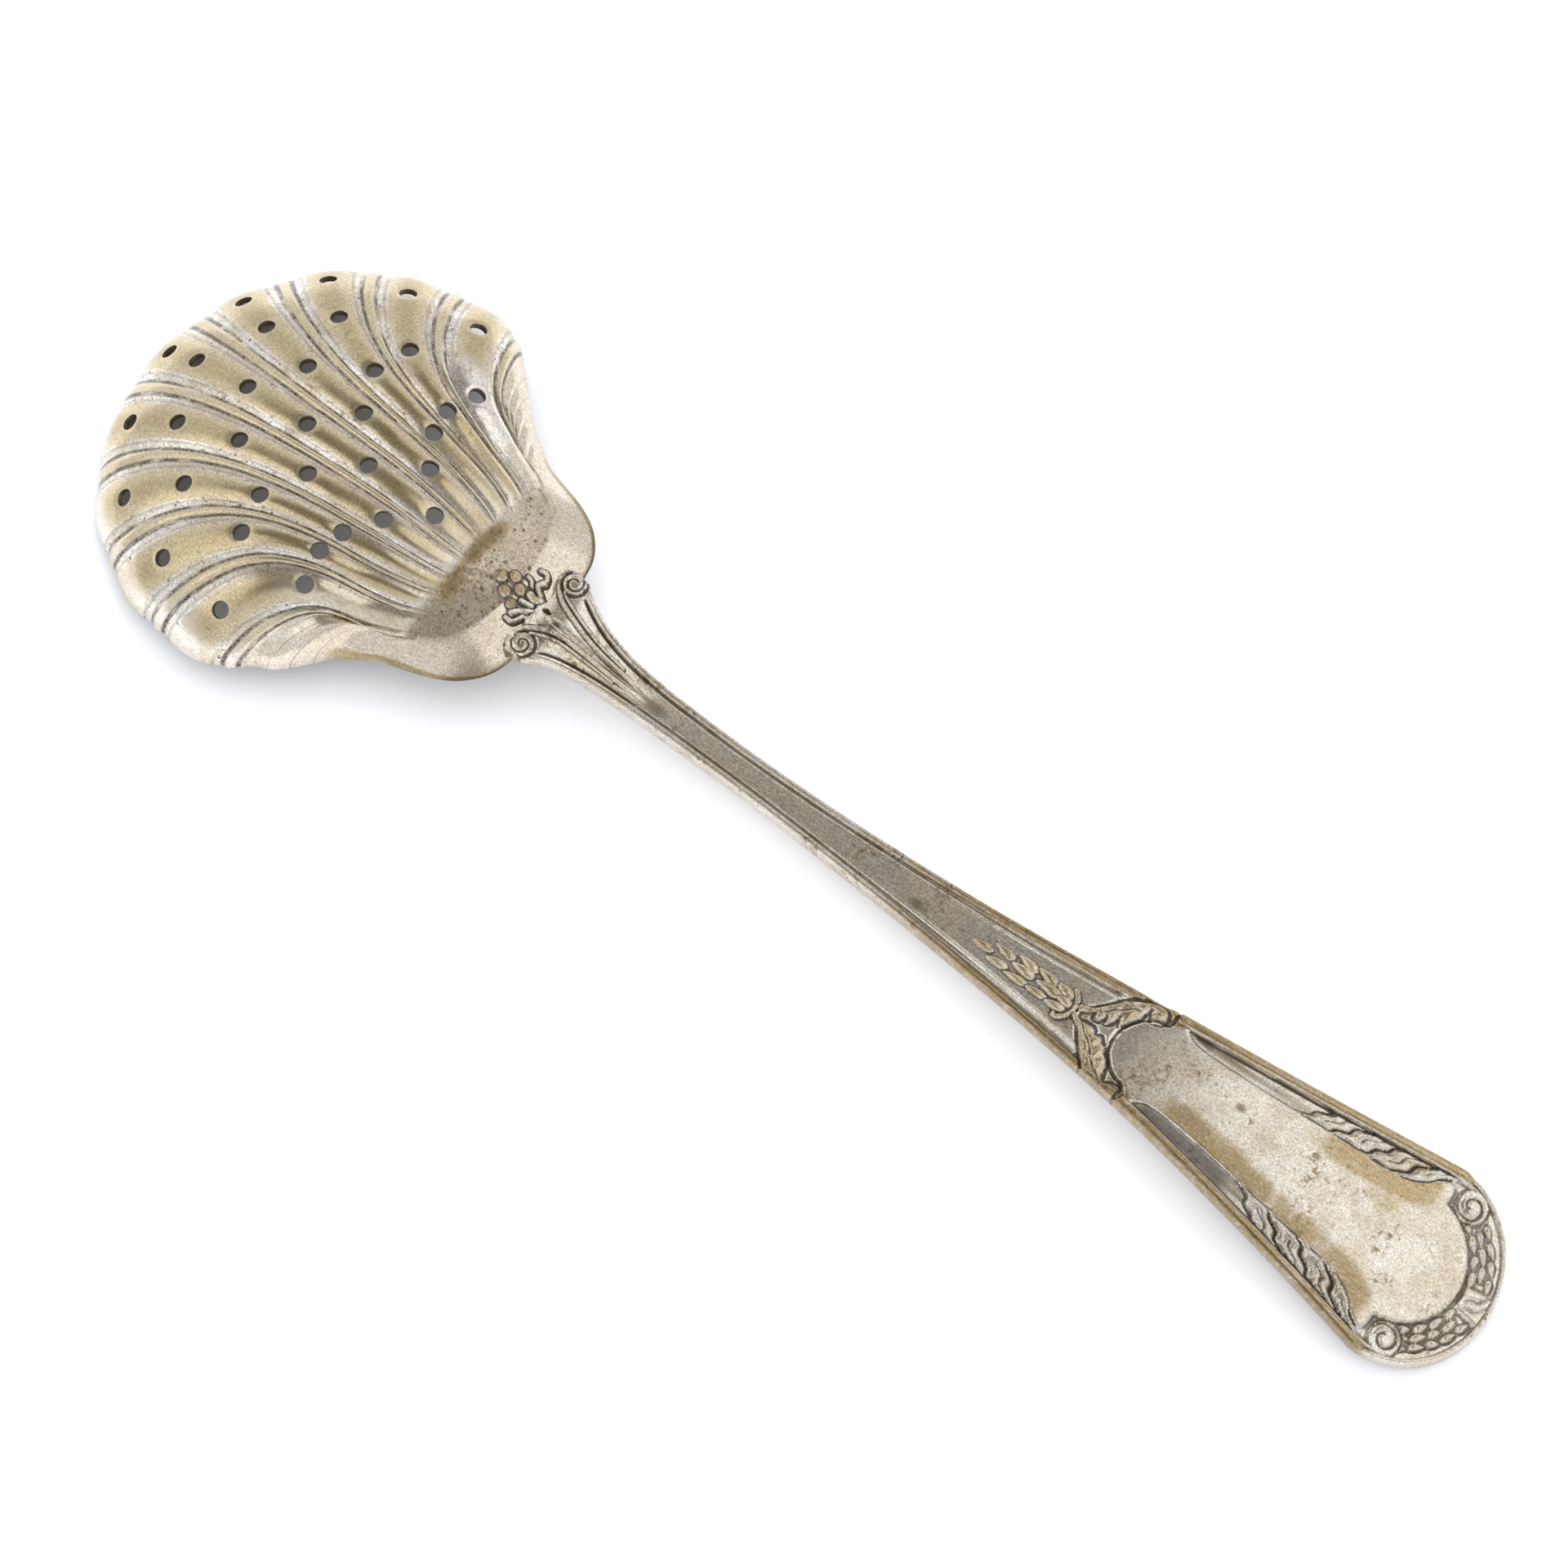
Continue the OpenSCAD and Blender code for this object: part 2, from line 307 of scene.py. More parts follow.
def flute_profile(k, t):
    """Height across a flute: a broad lobe, flat valleys and a narrow bead between two lobes."""
    ak = np.abs(k)
    f = np.abs(ak - np.round(ak))
    lobe = np.where(f < LOBE_HALF, np.cos(np.radians(90 * np.minimum(f / LOBE_HALF, 1))) ** 0.8, 0)
    b = (0.5 - f) / BEAD_HALF
    bead = np.where(b < 1, 0.55 * np.cos(np.radians(90 * np.minimum(b, 1))), 0)
    # beyond the last pierced flute: thin ribs on one side, one lens-shaped flute on the other
    way = (ak - SIDE_FROM) / RIB_GAP
    live = smooth(6.2, 5.5, ak) * smooth(0.25, 0.5, t)
    ribs = 0.5 * np.abs(np.sin(np.pi * way)) * live * smooth(1.0, 0.93, t)
    lens = 1.3 * within(way, 0.1, 1.5, 1.9, 4.2) * live
    return np.where(ak > SIDE_FROM, np.where(k > 0, ribs, lens), np.maximum(lobe, bead))


def heel_groove(x, y):
    """The shallow band across the heel where the flutes stop."""
    return bump((x - GROOVE_X - 0.012 * y * y) / 2.0) * smooth(9.5, 4.5, np.abs(y + 1))


def bowl_surface(px, py, raised, inset):
    """The skin's points over plan points: raised by the flutes, or moved in by the wall."""
    phi, distance = polar(px, py)
    r0 = outline_r(phi)
    rho = distance / r0
    r = rho * (r0 + raised - inset)
    x = BOWL_R - r * np.cos(np.radians(phi))
    y = r * np.sin(np.radians(phi))
    edge = HEEL_EDGE * smooth(HEEL_FROM, HEEL_FULL, np.abs(phi)) * smooth(0.75, 1, rho)
    return x, y, rim_z(x) + (DOME_H + raised - inset) * dome(rho, phi) - edge * inset


# Where the holes of each flute sit, as parts of the way from the focus to the rim
HOLE_WAYS = [[0.953, 0.870, 0.723, 0.557, 0.390, 0.213], [0.946, 0.836, 0.682, 0.502, 0.301],
             [0.950, 0.825, 0.637, 0.406], [0.940, 0.767, 0.529], [0.940, 0.700]]


def hole_axes():
    """Centre and outward normal of each sifting hole."""
    step = 0.05
    out = []
    for k, ways in enumerate(HOLE_WAYS):
        angle = flute_angle(k)
        reach = rim_reach(angle)
        for t in ways:
            x = FOCUS_X - t * reach * math.cos(math.radians(angle))
            for side in (1,) if k == 0 else (-1, 1):
                y = side * spread(t, angle) * reach * math.sin(math.radians(angle))
                sx = (bowl_z(x + step, y) - bowl_z(x - step, y)) / (2 * step)
                sy = (bowl_z(x, y + step) - bowl_z(x, y - step)) / (2 * step)
                n = np.array([-sx, -sy, 1.0])
                out.append((np.array([x, y, bowl_z(x, y) + 0.6 * FLUTE_H]), n / np.linalg.norm(n)))
    return out


def hole_distance(points):
    """Distance of points from the nearest hole's axis."""
    best = np.full(len(points), 99.0)
    for c, n in hole_axes():
        v = points - c
        h = v @ n
        d = np.linalg.norm(v - h[:, None] * n, axis=1)
        best = np.minimum(best, np.where(np.abs(h) < 3, d, 99))
    return best


def spokes(per_flute, ear_steps):
    """Angles round the rim where the mesh lines end, with the signed flute number of each."""
    ks = np.arange(1, int(FLUTE_LAST * per_flute) + 1) / per_flute
    a = flute_angle(ks)
    d = rim_reach(a)
    phis = np.degrees(np.arctan2(d * np.sin(np.radians(a)), d * np.cos(np.radians(a)) - FOCUS_X + BOWL_R))
    ear = phis[-1] + (180 - phis[-1]) * np.arange(1, ear_steps + 1) / ear_steps
    phi = np.concatenate([phis, ear])
    k = np.concatenate([ks, np.linspace(FLUTE_LAST + 0.02, 8, ear_steps)])
    return (np.concatenate([[0], half, -half[-2::-1]]) for half in (phi, k))


def skin(phi, k, rings, inset):
    """Points of the outer (inset 0) or inner skin, with the numbers its material needs.

    The rows of the grid are rings, from near the focus out to the rim; the focus comes first.
    """
    t = np.arange(1, rings + 1) / rings
    t = mix(t, np.sin(np.radians(90 * t)), 0.75)[:, None]
    r = outline_r(phi)
    back = FOCUS_X - BOWL_R + r * np.cos(np.radians(phi))
    side = r * np.sin(np.radians(phi))
    angle = np.degrees(np.arctan2(np.abs(side), back))
    px, py, t = FOCUS_X - t * back, spread(t, angle) * side, t + 0 * back
    begin = smooth(5.8, 8.4, FOCUS_X - px)
    groove = heel_groove(px, py)
    raised = FLUTE_H * begin * np.minimum(1, 0.4 + t) * flute_profile(k, t) - 0.14 * groove
    points = np.stack(bowl_surface(px, py, raised, inset), -1).reshape(-1, 3)
    if inset == 0:
        points[:, 2] -= 0.1 * smooth(1.75, 1.0, hole_distance(points))
    focus = bowl_surface(np.array([FOCUS_X]), np.array([0.0]), 0, inset)
    numbers = np.stack([k + 0 * t, t, begin, np.full(t.shape, inset), groove], -1).reshape(-1, 5)
    return np.vstack([np.hstack(focus), points]), np.vstack([[0, 0, 0, inset, 0], numbers])


def skin_grid(first, rings, spokes_round):
    """Point numbers of a skin whose focus is number first, closed round."""
    return closed(first + 1 + np.arange(rings * spokes_round).reshape(rings, spokes_round))


def build_bowl():
    phi, k = spokes(30, 70)
    outer_rings, inner_rings = 120, 44
    outer, outer_numbers = skin(phi, k, outer_rings, 0)
    inner, inner_numbers = skin(phi, k, inner_rings, WALL)
    out = skin_grid(0, outer_rings, len(phi))
    inn = skin_grid(len(outer), inner_rings, len(phi))
    faces = [(0, a, b) for a, b in zip(out[0].tolist(), out[0, 1:].tolist())]
    faces += [(len(outer), b, a) for a, b in zip(inn[0].tolist(), inn[0, 1:].tolist())]
    faces += grid_faces(np.stack([out[-1], inn[-1]]))
    faces += grid_faces(out) + grid_faces(inn, flip=True)
    points = np.vstack([outer, inner])
    bowl = mesh_object("bowl_shell", points, faces)
    punch_holes(bowl)
    bowl_values(bowl, points, np.vstack([outer_numbers, inner_numbers]))
    shade(bowl, 40)
    return bowl


def punch_holes(bowl):
    bm = bmesh.new()
    for c, n in hole_axes():
        place = Vector((c[0] - MIDDLE_X, c[1], c[2])) * MM
        turn = Vector(n).to_track_quat("Z", "Y").to_matrix().to_4x4()
        bmesh.ops.create_cone(bm, cap_ends=True, segments=40, radius1=HOLE_R * MM, radius2=HOLE_R * MM,
                              depth=5 * MM, matrix=Matrix.Translation(place) @ turn)
    mesh = bpy.data.meshes.new("punches")
    bm.to_mesh(mesh)
    bm.free()
    tool = bpy.data.objects.new("punches", mesh)
    bpy.context.scene.collection.objects.link(tool)
    cut = bowl.modifiers.new("holes", "BOOLEAN")
    cut.operation = "DIFFERENCE"
    cut.solver = "MANIFOLD"
    cut.object = tool
    bpy.context.view_layer.update()
    done = bpy.data.meshes.new_from_object(bowl.evaluated_get(bpy.context.evaluated_depsgraph_get()))
    bowl.modifiers.clear()
    bowl.data = done
    bpy.data.objects.remove(tool)
    bpy.data.meshes.remove(mesh)


def bowl_values(bowl, points, numbers):
    """Numbers the bowl's material reads: taken from the nearest point of the uncut skins."""
    tree = KDTree(len(points))
    for i, q in enumerate(points):
        tree.insert(q, i)
    tree.balance()
    p = mesh_points(bowl)
    k, t, begin, inset, groove = numbers[[tree.find(q)[1] for q in p]].T
    set_values(bowl, {"begin": begin, "flute": k, "way": t, "hole": hole_distance(p),
                      "inset": inset, "groove": groove})


# -------- handle shape
# Height of the handle's top at places along it
SPINE = np.array([[52, 12], [66, 8.7], [77, 6.0], [88, 5.25], [104, 5.1], [128, 5.6], [148, 6.5],
                  [164, 6.6], [186, 4.9], [END_X, END_T], [END_X + 16, -0.6]])
EDGE_R = 0.28
SKEW = 0.065
# The handle's front end is round up to FRONT_X; its shaft widens again from GROW_X
FRONT_X = 60.5
FLARE_X = 66
GROW_X = 92


def spine_at(x):
    """Height of the handle's top along its length: a smooth curve through SPINE."""
    x = np.asarray(x, float)
    i = np.clip(np.searchsorted(SPINE[:, 0], x, side="right") - 1, 1, len(SPINE) - 3)
    p, q, r, s = SPINE[i - 1], SPINE[i], SPINE[i + 1], SPINE[i + 2]
    h = r[..., 0] - q[..., 0]
    t = np.clip((x - q[..., 0]) / h, 0, 1)
    m0 = h * (r[..., 1] - p[..., 1]) / (r[..., 0] - p[..., 0])
    m1 = h * (s[..., 1] - q[..., 1]) / (s[..., 0] - q[..., 0])
    return ((2 * t**3 - 3 * t**2 + 1) * q[..., 1] + (t**3 - 2 * t**2 + t) * m0
            + (3 * t**2 - 2 * t**3) * r[..., 1] + (t**3 - t**2) * m1)


def handle_half(x):
    x = np.asarray(x, float)
    front = ROOT_HALF * np.sqrt(0.9 * np.clip(1 - ((FRONT_X - x) / 3) ** 2, 0, 1) + 0.1)
    flare = (ROOT_HALF + 0.3 - SHAFT_W / 2) * np.exp(-np.maximum(0, x - FLARE_X) / 5.0)
    grow = (np.maximum(0, x - GROW_X) / (WIDE_X - GROW_X)) ** 1.84
    return np.where(x < FRONT_X, front, SHAFT_W / 2 + flare + (END_W - SHAFT_W) / 2 * grow)


def skew(u, y):
    """The ornament at the end runs slightly ahead on one side."""
    return u - SKEW * y * smooth(172, 196, u)


def edge_distance(u, y):
    """Distance in from the handle's outline, in plan."""
    step = 0.05
    slope = (handle_half(u + step) - handle_half(u - step)) / (2 * step)
    side = (handle_half(u) - np.abs(y)) / np.sqrt(1 + slope**2)
    px, py = np.maximum(u - WIDE_X, 0) / END_ROUND, y / (END_W / 2)
    out = np.maximum(np.hypot(px, py), 1e-6)
    end = (1 - out) * out / np.maximum(np.hypot(px / END_ROUND, py / (END_W / 2)), 1e-7)
    return np.where(u < WIDE_X, side, end)


def ridge(x, y, points, half, height):
    """A half-round raised line along a smooth path."""
    return half_round(path_distance(x, y, spline(points))[0], half, height)


def drop(x, y, cx, cy, length, width, angle, height):
    """A raised grain, longer than wide, pointed at its forward end."""
    a = math.radians(angle)
    u = ((x - cx) * math.cos(a) + (y - cy) * math.sin(a)) / length
    v = (-(x - cx) * math.sin(a) + (y - cy) * math.cos(a)) / width
    return height * dome_shape(u * u + (v / np.maximum(1 - 0.35 * u, 0.3)) ** 2)


# -------- ornament of the neck
# Centre and radius of each berry
BERRIES = [(57.65, 0.0, 0.8), (58.9, 1.15, 0.8), (59.0, -1.1, 0.78), (60.25, 0.35, 0.78),
           (60.55, -1.75, 0.72)]
# Path, half width and height of each tendril
TENDRILS = [
    ([(60.6, 4.0), (61.3, 4.2), (61.9, 3.6), (61.6, 2.9)], 0.36, 0.62),
    ([(62.0, 3.1), (61.5, 2.4), (61.9, 1.9), (62.6, 1.5)], 0.42, 0.72),
    ([(60.0, 2.3), (60.6, 2.2), (61.0, 1.7)], 0.32, 0.5),
    ([(61.6, 0.7), (62.3, 0.6), (63.1, 0.95)], 0.62, 0.85),
    ([(61.1, -3.5), (61.9, -3.4), (62.3, -2.7), (62.5, -2.0)], 0.34, 0.6),
    ([(61.2, -2.7), (61.8, -1.8), (62.6, -1.1), (63.4, -0.5)], 0.42, 0.7),
    ([(62.9, -1.9), (63.5, -1.2), (64.3, -0.75), (65.2, -0.5)], 0.32, 0.6),
    ([(61.2, -0.6), (61.9, -0.4), (62.6, -0.2)], 0.4, 0.6),
    ([(63.4, 0.2), (64.0, 0.75), (65.0, 0.9), (66.3, 0.4)], 0.3, 0.75),
]
# Bands that run from the scrolls to the middle of the shaft: path, half width and height
BANDS = [
    ([(64.3, 7.15), (63.3, 6.8), (62.85, 5.9), (62.95, 4.9), (63.6, 3.8), (64.6, 2.9), (65.9, 2.2),
      (67.4, 1.65), (69.2, 1.15), (72, 0.7), (75.5, 0.45), (81, 0.3)], 0.34, 0.42),
    ([(63.7, 5.0), (64.1, 4.2), (65.0, 3.4), (66.3, 2.8), (67.8, 2.3), (69.6, 1.85), (72.4, 1.35),
      (76, 1.0)], 0.24, 0.3),
    ([(65.4, -6.9), (64.1, -6.75), (63.2, -5.9), (63.0, -4.9), (63.2, -3.9), (63.9, -3.0), (64.8, -2.35),
      (66.0, -1.75), (67.6, -1.3), (69.6, -1.0), (72.4, -0.85), (76, -0.75), (81, -0.6)], 0.36, 0.46),
    ([(64.2, -3.5), (65.0, -3.0), (66.2, -2.45), (67.8, -1.95), (70, -1.6), (73, -1.35),
      (76, -1.25)], 0.22, 0.22),
]
# Outline of the raised plate under the scrolls
ROOT_PLATE = [(66.9, 7.2), (65.3, 7.1), (64.2, 7.2), (63.2, 6.85), (62.7, 5.9), (62.75, 4.9), (63.3, 3.7),
              (63.6, 2.4), (63.5, 1.2), (63.0, 0.2), (63.2, -0.9), (63.0, -1.9), (63.3, -3.2),
              (62.95, -4.0), (62.75, -5.0), (63.0, -6.1), (63.9, -6.95), (65.3, -7.15), (66.9, -7.2)]
# Place across, radius, pitch, start angle and turn of the two scrolls on the root
ROOT_SCROLLS = [(5.4, 1.45, 0.75, 200, -1), (-5.0, 1.5, 0.95, 150, 1)]
ROOT_SCROLL_X = 64.8
SCROLL_GROOVE = 0.27


def neck_relief(x, y):
    """Berries and tendrils over the root: their height, and how far outside them a point lies."""
    shapes = [(np.hypot(x - cx, y - cy), r, 0.8) for cx, cy, r in BERRIES]
    shapes += [(path_distance(x, y, spline(points))[0], half, height) for points, half, height in TENDRILS]
    raised = [np.where(d < half, half_round(d, half, height) + 0.05, -9) for d, half, height in shapes]
    return np.max(raised, axis=0), np.min([d - half for d, half, _ in shapes], axis=0)


def scroll(x, y, cx, cy, radius, pitch, start, turn):
    """A flat disc with a spiral groove cut into it; turn is 1 or -1."""
    r = np.hypot(x - cx, y - cy)
    t = (turn * np.degrees(np.arctan2(y - cy, x - cx)) - start) / 360
    t = t - np.floor(t)
    inner = np.where(t < 0.3, np.abs(r - (radius - pitch * (t + 1))), 9.0)
    cut = np.minimum(np.abs(r - (radius - pitch * t)), inner)
    cut = np.where(r > radius - 0.12, 9.0, cut)
    disc = np.clip((radius + 0.12 - r) / 0.22, 0, 1)
    return disc * (0.8 + half_round(r, radius - 0.7 * pitch, 0.3) - 0.62 * bump(cut / SCROLL_GROOVE)), r


def root_plate(x, y):
    """Signed distance inside the raised plate under the scrolls."""
    return inside_distance(x, y, np.array(ROOT_PLATE))


def neck_bands(u, y):
    """The bands' relief, with the hollow between them."""
    bands = np.max([ridge(u, y, *band) for band in BANDS], axis=0)
    between = bump((y + 0.1) / 0.55) * smooth(64.8, 66.5, u)
    return smooth(81, 74, u) * (1.25 * bands - 0.38 * between)


def shaft_relief(u, y, edge):
    """Two thin beads and a groove along each edge of the shaft, and a slightly crowned middle."""
    wider = smooth(110, 150, u)
    groove_at, groove_half = mix(1.08, 1.35, wider), mix(0.26, 0.5, wider)
    deep = mix(0.4, 0.28, smooth(95, 125, u)) * smooth(152.0, 149.5, u)
    beads = np.maximum(half_round(edge - 0.2, 0.24, 0.24), half_round(edge - 0.66, 0.22, 0.2))
    step = 0.16 * bump((edge - groove_at - groove_half - 0.2) / 0.3) * wider
    across = y / np.maximum(handle_half(u), 1)
    crown = 0.12 * smooth(0.95, 1.6, edge) * (1 - across**2) * smooth(140, 128, u)
    groove = deep * bump((edge - groove_at) / groove_half)
    return within(u, 66.2, 68.0, 150, 158) * (beads - groove + step + crown)


# -------- wheat ear and leaves
# Outline and middle rib of each leaf
LEAVES = [
    ([(148.0, 0.35), (149.1, 1.5), (150.3, 3.0), (151.4, 4.5), (153.0, 5.5), (154.8, 6.1), (156.1, 6.0),
      (156.6, 5.1), (156.2, 4.2), (155.2, 3.95), (154.7, 4.6), (154.3, 5.1), (154.0, 4.3), (153.9, 3.3),
      (153.3, 2.4), (152.9, 1.6), (152.3, 1.35), (151.9, 1.9), (151.5, 1.0), (150.9, 0.5),
      (150.6, 1.1), (150.1, 0.3), (149.4, 0.2), (149.1, 0.8)],
     [(147.8, 0.3), (150.6, 2.2), (153.0, 4.2), (155.4, 5.2)]),
    ([(148.0, -1.1), (149.2, -2.6), (150.6, -4.3), (151.9, -5.6), (153.0, -6.6), (155.0, -7.0),
      (156.9, -6.9), (157.7, -6.1), (157.2, -5.2), (156.1, -5.4), (155.3, -5.9), (154.6, -5.2),
      (154.3, -4.2), (153.9, -3.3), (153.2, -2.9), (152.8, -2.1), (152.1, -1.9), (151.6, -1.3),
      (150.8, -1.5), (150.2, -0.9), (149.2, -0.9)],
     [(147.8, -1.1), (150.6, -2.7), (152.6, -4.7), (155.0, -6.4)]),
]
# Centre, half length, half width and angle of each grain
GRAINS = [
    (133.1, -0.4, 1.5, 0.55, 184), (135.8, 0.55, 1.55, 0.62, 172), (135.7, -1.2, 1.6, 0.6, 186),
    (139.0, 1.0, 1.6, 0.62, 170), (138.9, -0.1, 1.75, 0.68, 178), (138.8, -1.5, 1.75, 0.55, 184),
    (141.9, 1.05, 1.7, 0.66, 170), (142.9, -0.15, 2.0, 0.68, 180), (141.7, -1.45, 1.6, 0.52, 184),
    (144.6, 0.85, 1.5, 0.7, 168), (144.6, -1.45, 1.5, 0.6, 188), (145.2, -0.3, 1.3, 0.6, 180),
]
# Collar, its tail, the tie and the two stems: path, half width and height
STALKS = [
    (arc(144.4, -0.45, 2.45, np.arange(58, -66, -10)), 0.34, 0.5),
    ([(145.9, -2.2), (145.3, -2.65), (145.1, -2.3)], 0.3, 0.4),
    ([(147.3, 0.5), (147.55, -0.3), (147.4, -1.2)], 0.22, 0.4),
    ([(147.4, 0.2), (148.8, 0.9), (150.2, 2.3), (151.3, 3.6)], 0.45, 0.4),
    ([(147.3, -1.0), (148.8, -1.9), (150.6, -3.9), (152.6, -6.1)], 0.42, 0.45),
]


def leaf_height(x, y, loop, rib_path):
    d = inside_distance(x, y, spline(loop + [loop[0]], 3)[:-1])
    rib, along = path_distance(x, y, spline(rib_path))
    body = 0.42 * (1 - np.exp(-np.maximum(d, 0) / 0.28))
    veins = 0.05 * np.cos(along * 2 * np.pi * 5 + rib * 2.2)
    crease = -0.14 * bump(rib / 0.32)
    return np.where(d > 0, body + (veins + crease) * smooth(0, 0.35, d), 0), d


def wheat_relief(x, y):
    """Height of the ear and leaves, and the moat round the leaves."""
    leaves, distances = zip(*(leaf_height(x, y, *leaf) for leaf in LEAVES))
    ear = [drop(x, y, *grain, 0.5) for grain in GRAINS] + [ridge(x, y, *stalk) for stalk in STALKS]
    moat = np.max([bump((d + 0.25) / 0.35) for d in distances], axis=0)
    return np.max([*ear, *leaves], axis=0), moat * smooth(147.5, 149, x)


# -------- cartouche and the handle's end
# Centres of the shield's hollow front and of its round end
SHIELD_X = 157.55
SHIELD_END_X = 195.1
# The channels beside the cartouche begin at CHANNEL_X, and the ribbon in them at RIBBON_X
CHANNEL_X = 158.8
RIBBON_X = 174.6
RIBBON_FOLD = 4.6
# Centre of the upper end scroll, the swoop that ends in it, and radii of the rows of husks
END_SCROLL = (199.25, 9.85)
END_SWOOP = [(192.5, 10.7), (194.8, 11.25), (197.0, 11.75), (199.3, 11.8), (200.9, 10.9)]
HUSK_ROWS = (9.2, 10.25, 11.35)
HUSK_LEN = 2.15


def shield_loop():
    """Outline of the cartouche, the plain shield: drawn for one side and mirrored."""
    cusp = [(157.3, 4.5), (157.7, 5.4), (157.6, 6.9), (158.6, 6.9)]
    side = spline([(158.9, 6.4), (159.6, 5.45), (160.7, 4.85), (162.6, 4.65), (166, 4.8), (170, 5.1),
                   (175, 5.6), (180, 6.15), (185, 6.65), (189, 7.0), (191.4, 7.6), (193.2, 8.7),
                   (194.6, 9.9), (195.8, 10.5), (196.4, 10.0), (196.45, 8.9), (196.4, 8.25)], 4)
    half = np.vstack([arc(SHIELD_X, 0, 4.5, np.arange(180, 104, -7.5)), cusp, side,
                      arc(SHIELD_END_X, 0, 8.3, np.arange(81, -1, -4.5))])
    return np.vstack([half, (half[::-1] * [1, -1])[1:-1]])


def ribbon(u, w):
    """Overlapping leaves of the twisted ribbon in a channel; w is 0 by the cartouche, 1 by the border."""
    w = np.clip(w, 0.001, 0.999)
    lean = 0.5 - np.sin(np.arcsin(1 - 2 * w) / 3)
    q = (u - 5.2 * lean + 0.35 * np.sin(9 * w + 0.9 * u) - RIBBON_X) / RIBBON_FOLD
    part = q - np.floor(q)
    gap = np.minimum(part, 1 - part) / (0.06 + 0.09 * (1 - w))
    body = 0.24 + 0.34 * np.sin(np.pi * part) ** 0.7 - 0.42 * bump(gap)
    body = body + 0.2 * bump((part - 0.3) / 0.09) - 0.16 * bump((part - 0.56) / 0.09) * smooth(0.15, 0.4, w)
    return within(q, 0.0, 0.05, 3.95, 4.1)**2 * body * (1 - (2 * w - 1) ** 6)


def husks(u, y):
    """Festoon of small husks round the end, with a plain tie in the middle."""
    r = np.hypot(u - SHIELD_END_X, y)
    tilt = 1.5
    grains = []
    for row, radius in enumerate(HUSK_ROWS):
        step = HUSK_LEN / math.radians(radius)
        for i in range(4 if row == 0 else 5):
            for side in (-1, 1):
                at = side * (15.5 + step * (i + 0.5 * (row == 1))) + tilt
                [(cx, cy)] = arc(SHIELD_END_X, 0, radius, [at])
                vary = math.sin(3.7 * i + 2.3 * row + side)
                point = at - side * (98 - 8 * row) + 7 * vary
                grains.append(drop(u, y, cx, cy, (0.48 + 0.06 * vary) * HUSK_LEN, 0.52, point, 0.72))
    h = np.max(grains, axis=0)
    a = np.degrees(np.arctan2(y, u - SHIELD_END_X)) - tilt
    tie = within(a, -12, -7.5, 7.5, 12) * smooth(8.7, 9.1, r)
    lean = a - 4 * (r - 10.2) + 1.2 * np.sin(3 * r)
    crease = np.maximum(bump((lean - 1.5) / 2.6), 0.6 * bump((lean + 6) / 1.8)) * smooth(9.2, 9.9, r)
    return np.where(tie > 0.02, np.maximum(h * (1 - tie), 0.5 * tie - 0.28 * crease * tie), h)


def end_ornament(u, y, edge, shield):
    """Scrolls, swoops and husks round the handle's end."""
    ground = -0.5
    cx, cy = END_SCROLL
    away = spot(u, np.abs(y), cx, cy, 1, 1) > 2.25
    festoon_zone = smooth(0.2, 0.45, -shield) * smooth(0.45, 0.7, edge) * (u > 196)
    shapes = [husks(u, y) * festoon_zone * away]
    for side in (-1, 1):
        shapes.append(0.78 * scroll(u, y, cx, side * cy, 2.05, 1.2, 150, side)[0])
        shapes.append(ridge(u, y, [(x, side * across) for x, across in END_SWOOP], 0.3, 0.6))
    return ground + np.max(shapes, axis=0)


def cartouche_relief(u, y, edge, shield):
    """The raised shield, the channels beside it with their ribbons, and the border round them."""
    inside = smooth(-0.22, 0.1, shield)
    round_end = smooth(196.5, 199.0, u)
    wall = smooth(-0.14, 0.1, 1.32 - edge)
    trough = -(0.16 + 0.5 * smooth(0, 1.7, -shield)) * smooth(158.6, 159.4, u) * (1 - round_end * 0.25)
    w = -shield / np.maximum(-shield + np.maximum(edge - 1.3, 0) + 1e-6, 0.3)
    in_channel = (1 - wall) * (u > 170) * smooth(196.6, 195.6, u)
    channel = (1 - inside) * (trough + in_channel * ribbon(u, w))
    floor = mix(channel, end_ornament(u, y, edge, shield), smooth(195.8, 197.0, u) * (1 - inside))
    floor = mix(floor, np.maximum(floor, 0), inside)
    rail = mix(half_round(edge - 0.62, 0.66, 0.42), half_round(edge - 0.28, 0.32, 0.36), round_end)
    on_rail = np.maximum(wall * (1 - round_end), smooth(-0.1, 0.12, 0.6 - edge) * round_end)
    ornament = np.where(u > 158, mix(floor, rail, on_rail), rail * wall)
    line = bump((shield + 0.28) / 0.3) * within(u, 151, 153, 158.2, 158.8)
    plateau = inside * (0.3 * smooth(150, 156, u) + 0.12 * bump(y / 11))
    return smooth(152, 158, u) * (ornament + 0.3 * (1 - inside) * (u > 158.4)) + plateau - 0.3 * line


def handle_relief(u, y):
    """Everything struck into the handle's top, with the distances to the cartouche and the edge."""
    edge = edge_distance(u, y)
    shield = inside_distance(u, y, shield_loop())
    wheat, moat = wheat_relief(u, y)
    h = shaft_relief(u, y, edge) + neck_bands(u, y) + wheat - 0.3 * moat * (shield < 0.4)
    return h + cartouche_relief(u, y, edge, shield), shield, edge


# -------- handle mesh
# Quarter-round edges: how far out and how far down each ring of points lies, as parts of the radius
QUARTER = [(0.5, 0.134), (0.866, 0.5), (1, 1)]
COLUMNS = 121
UNDER_STEP = 6


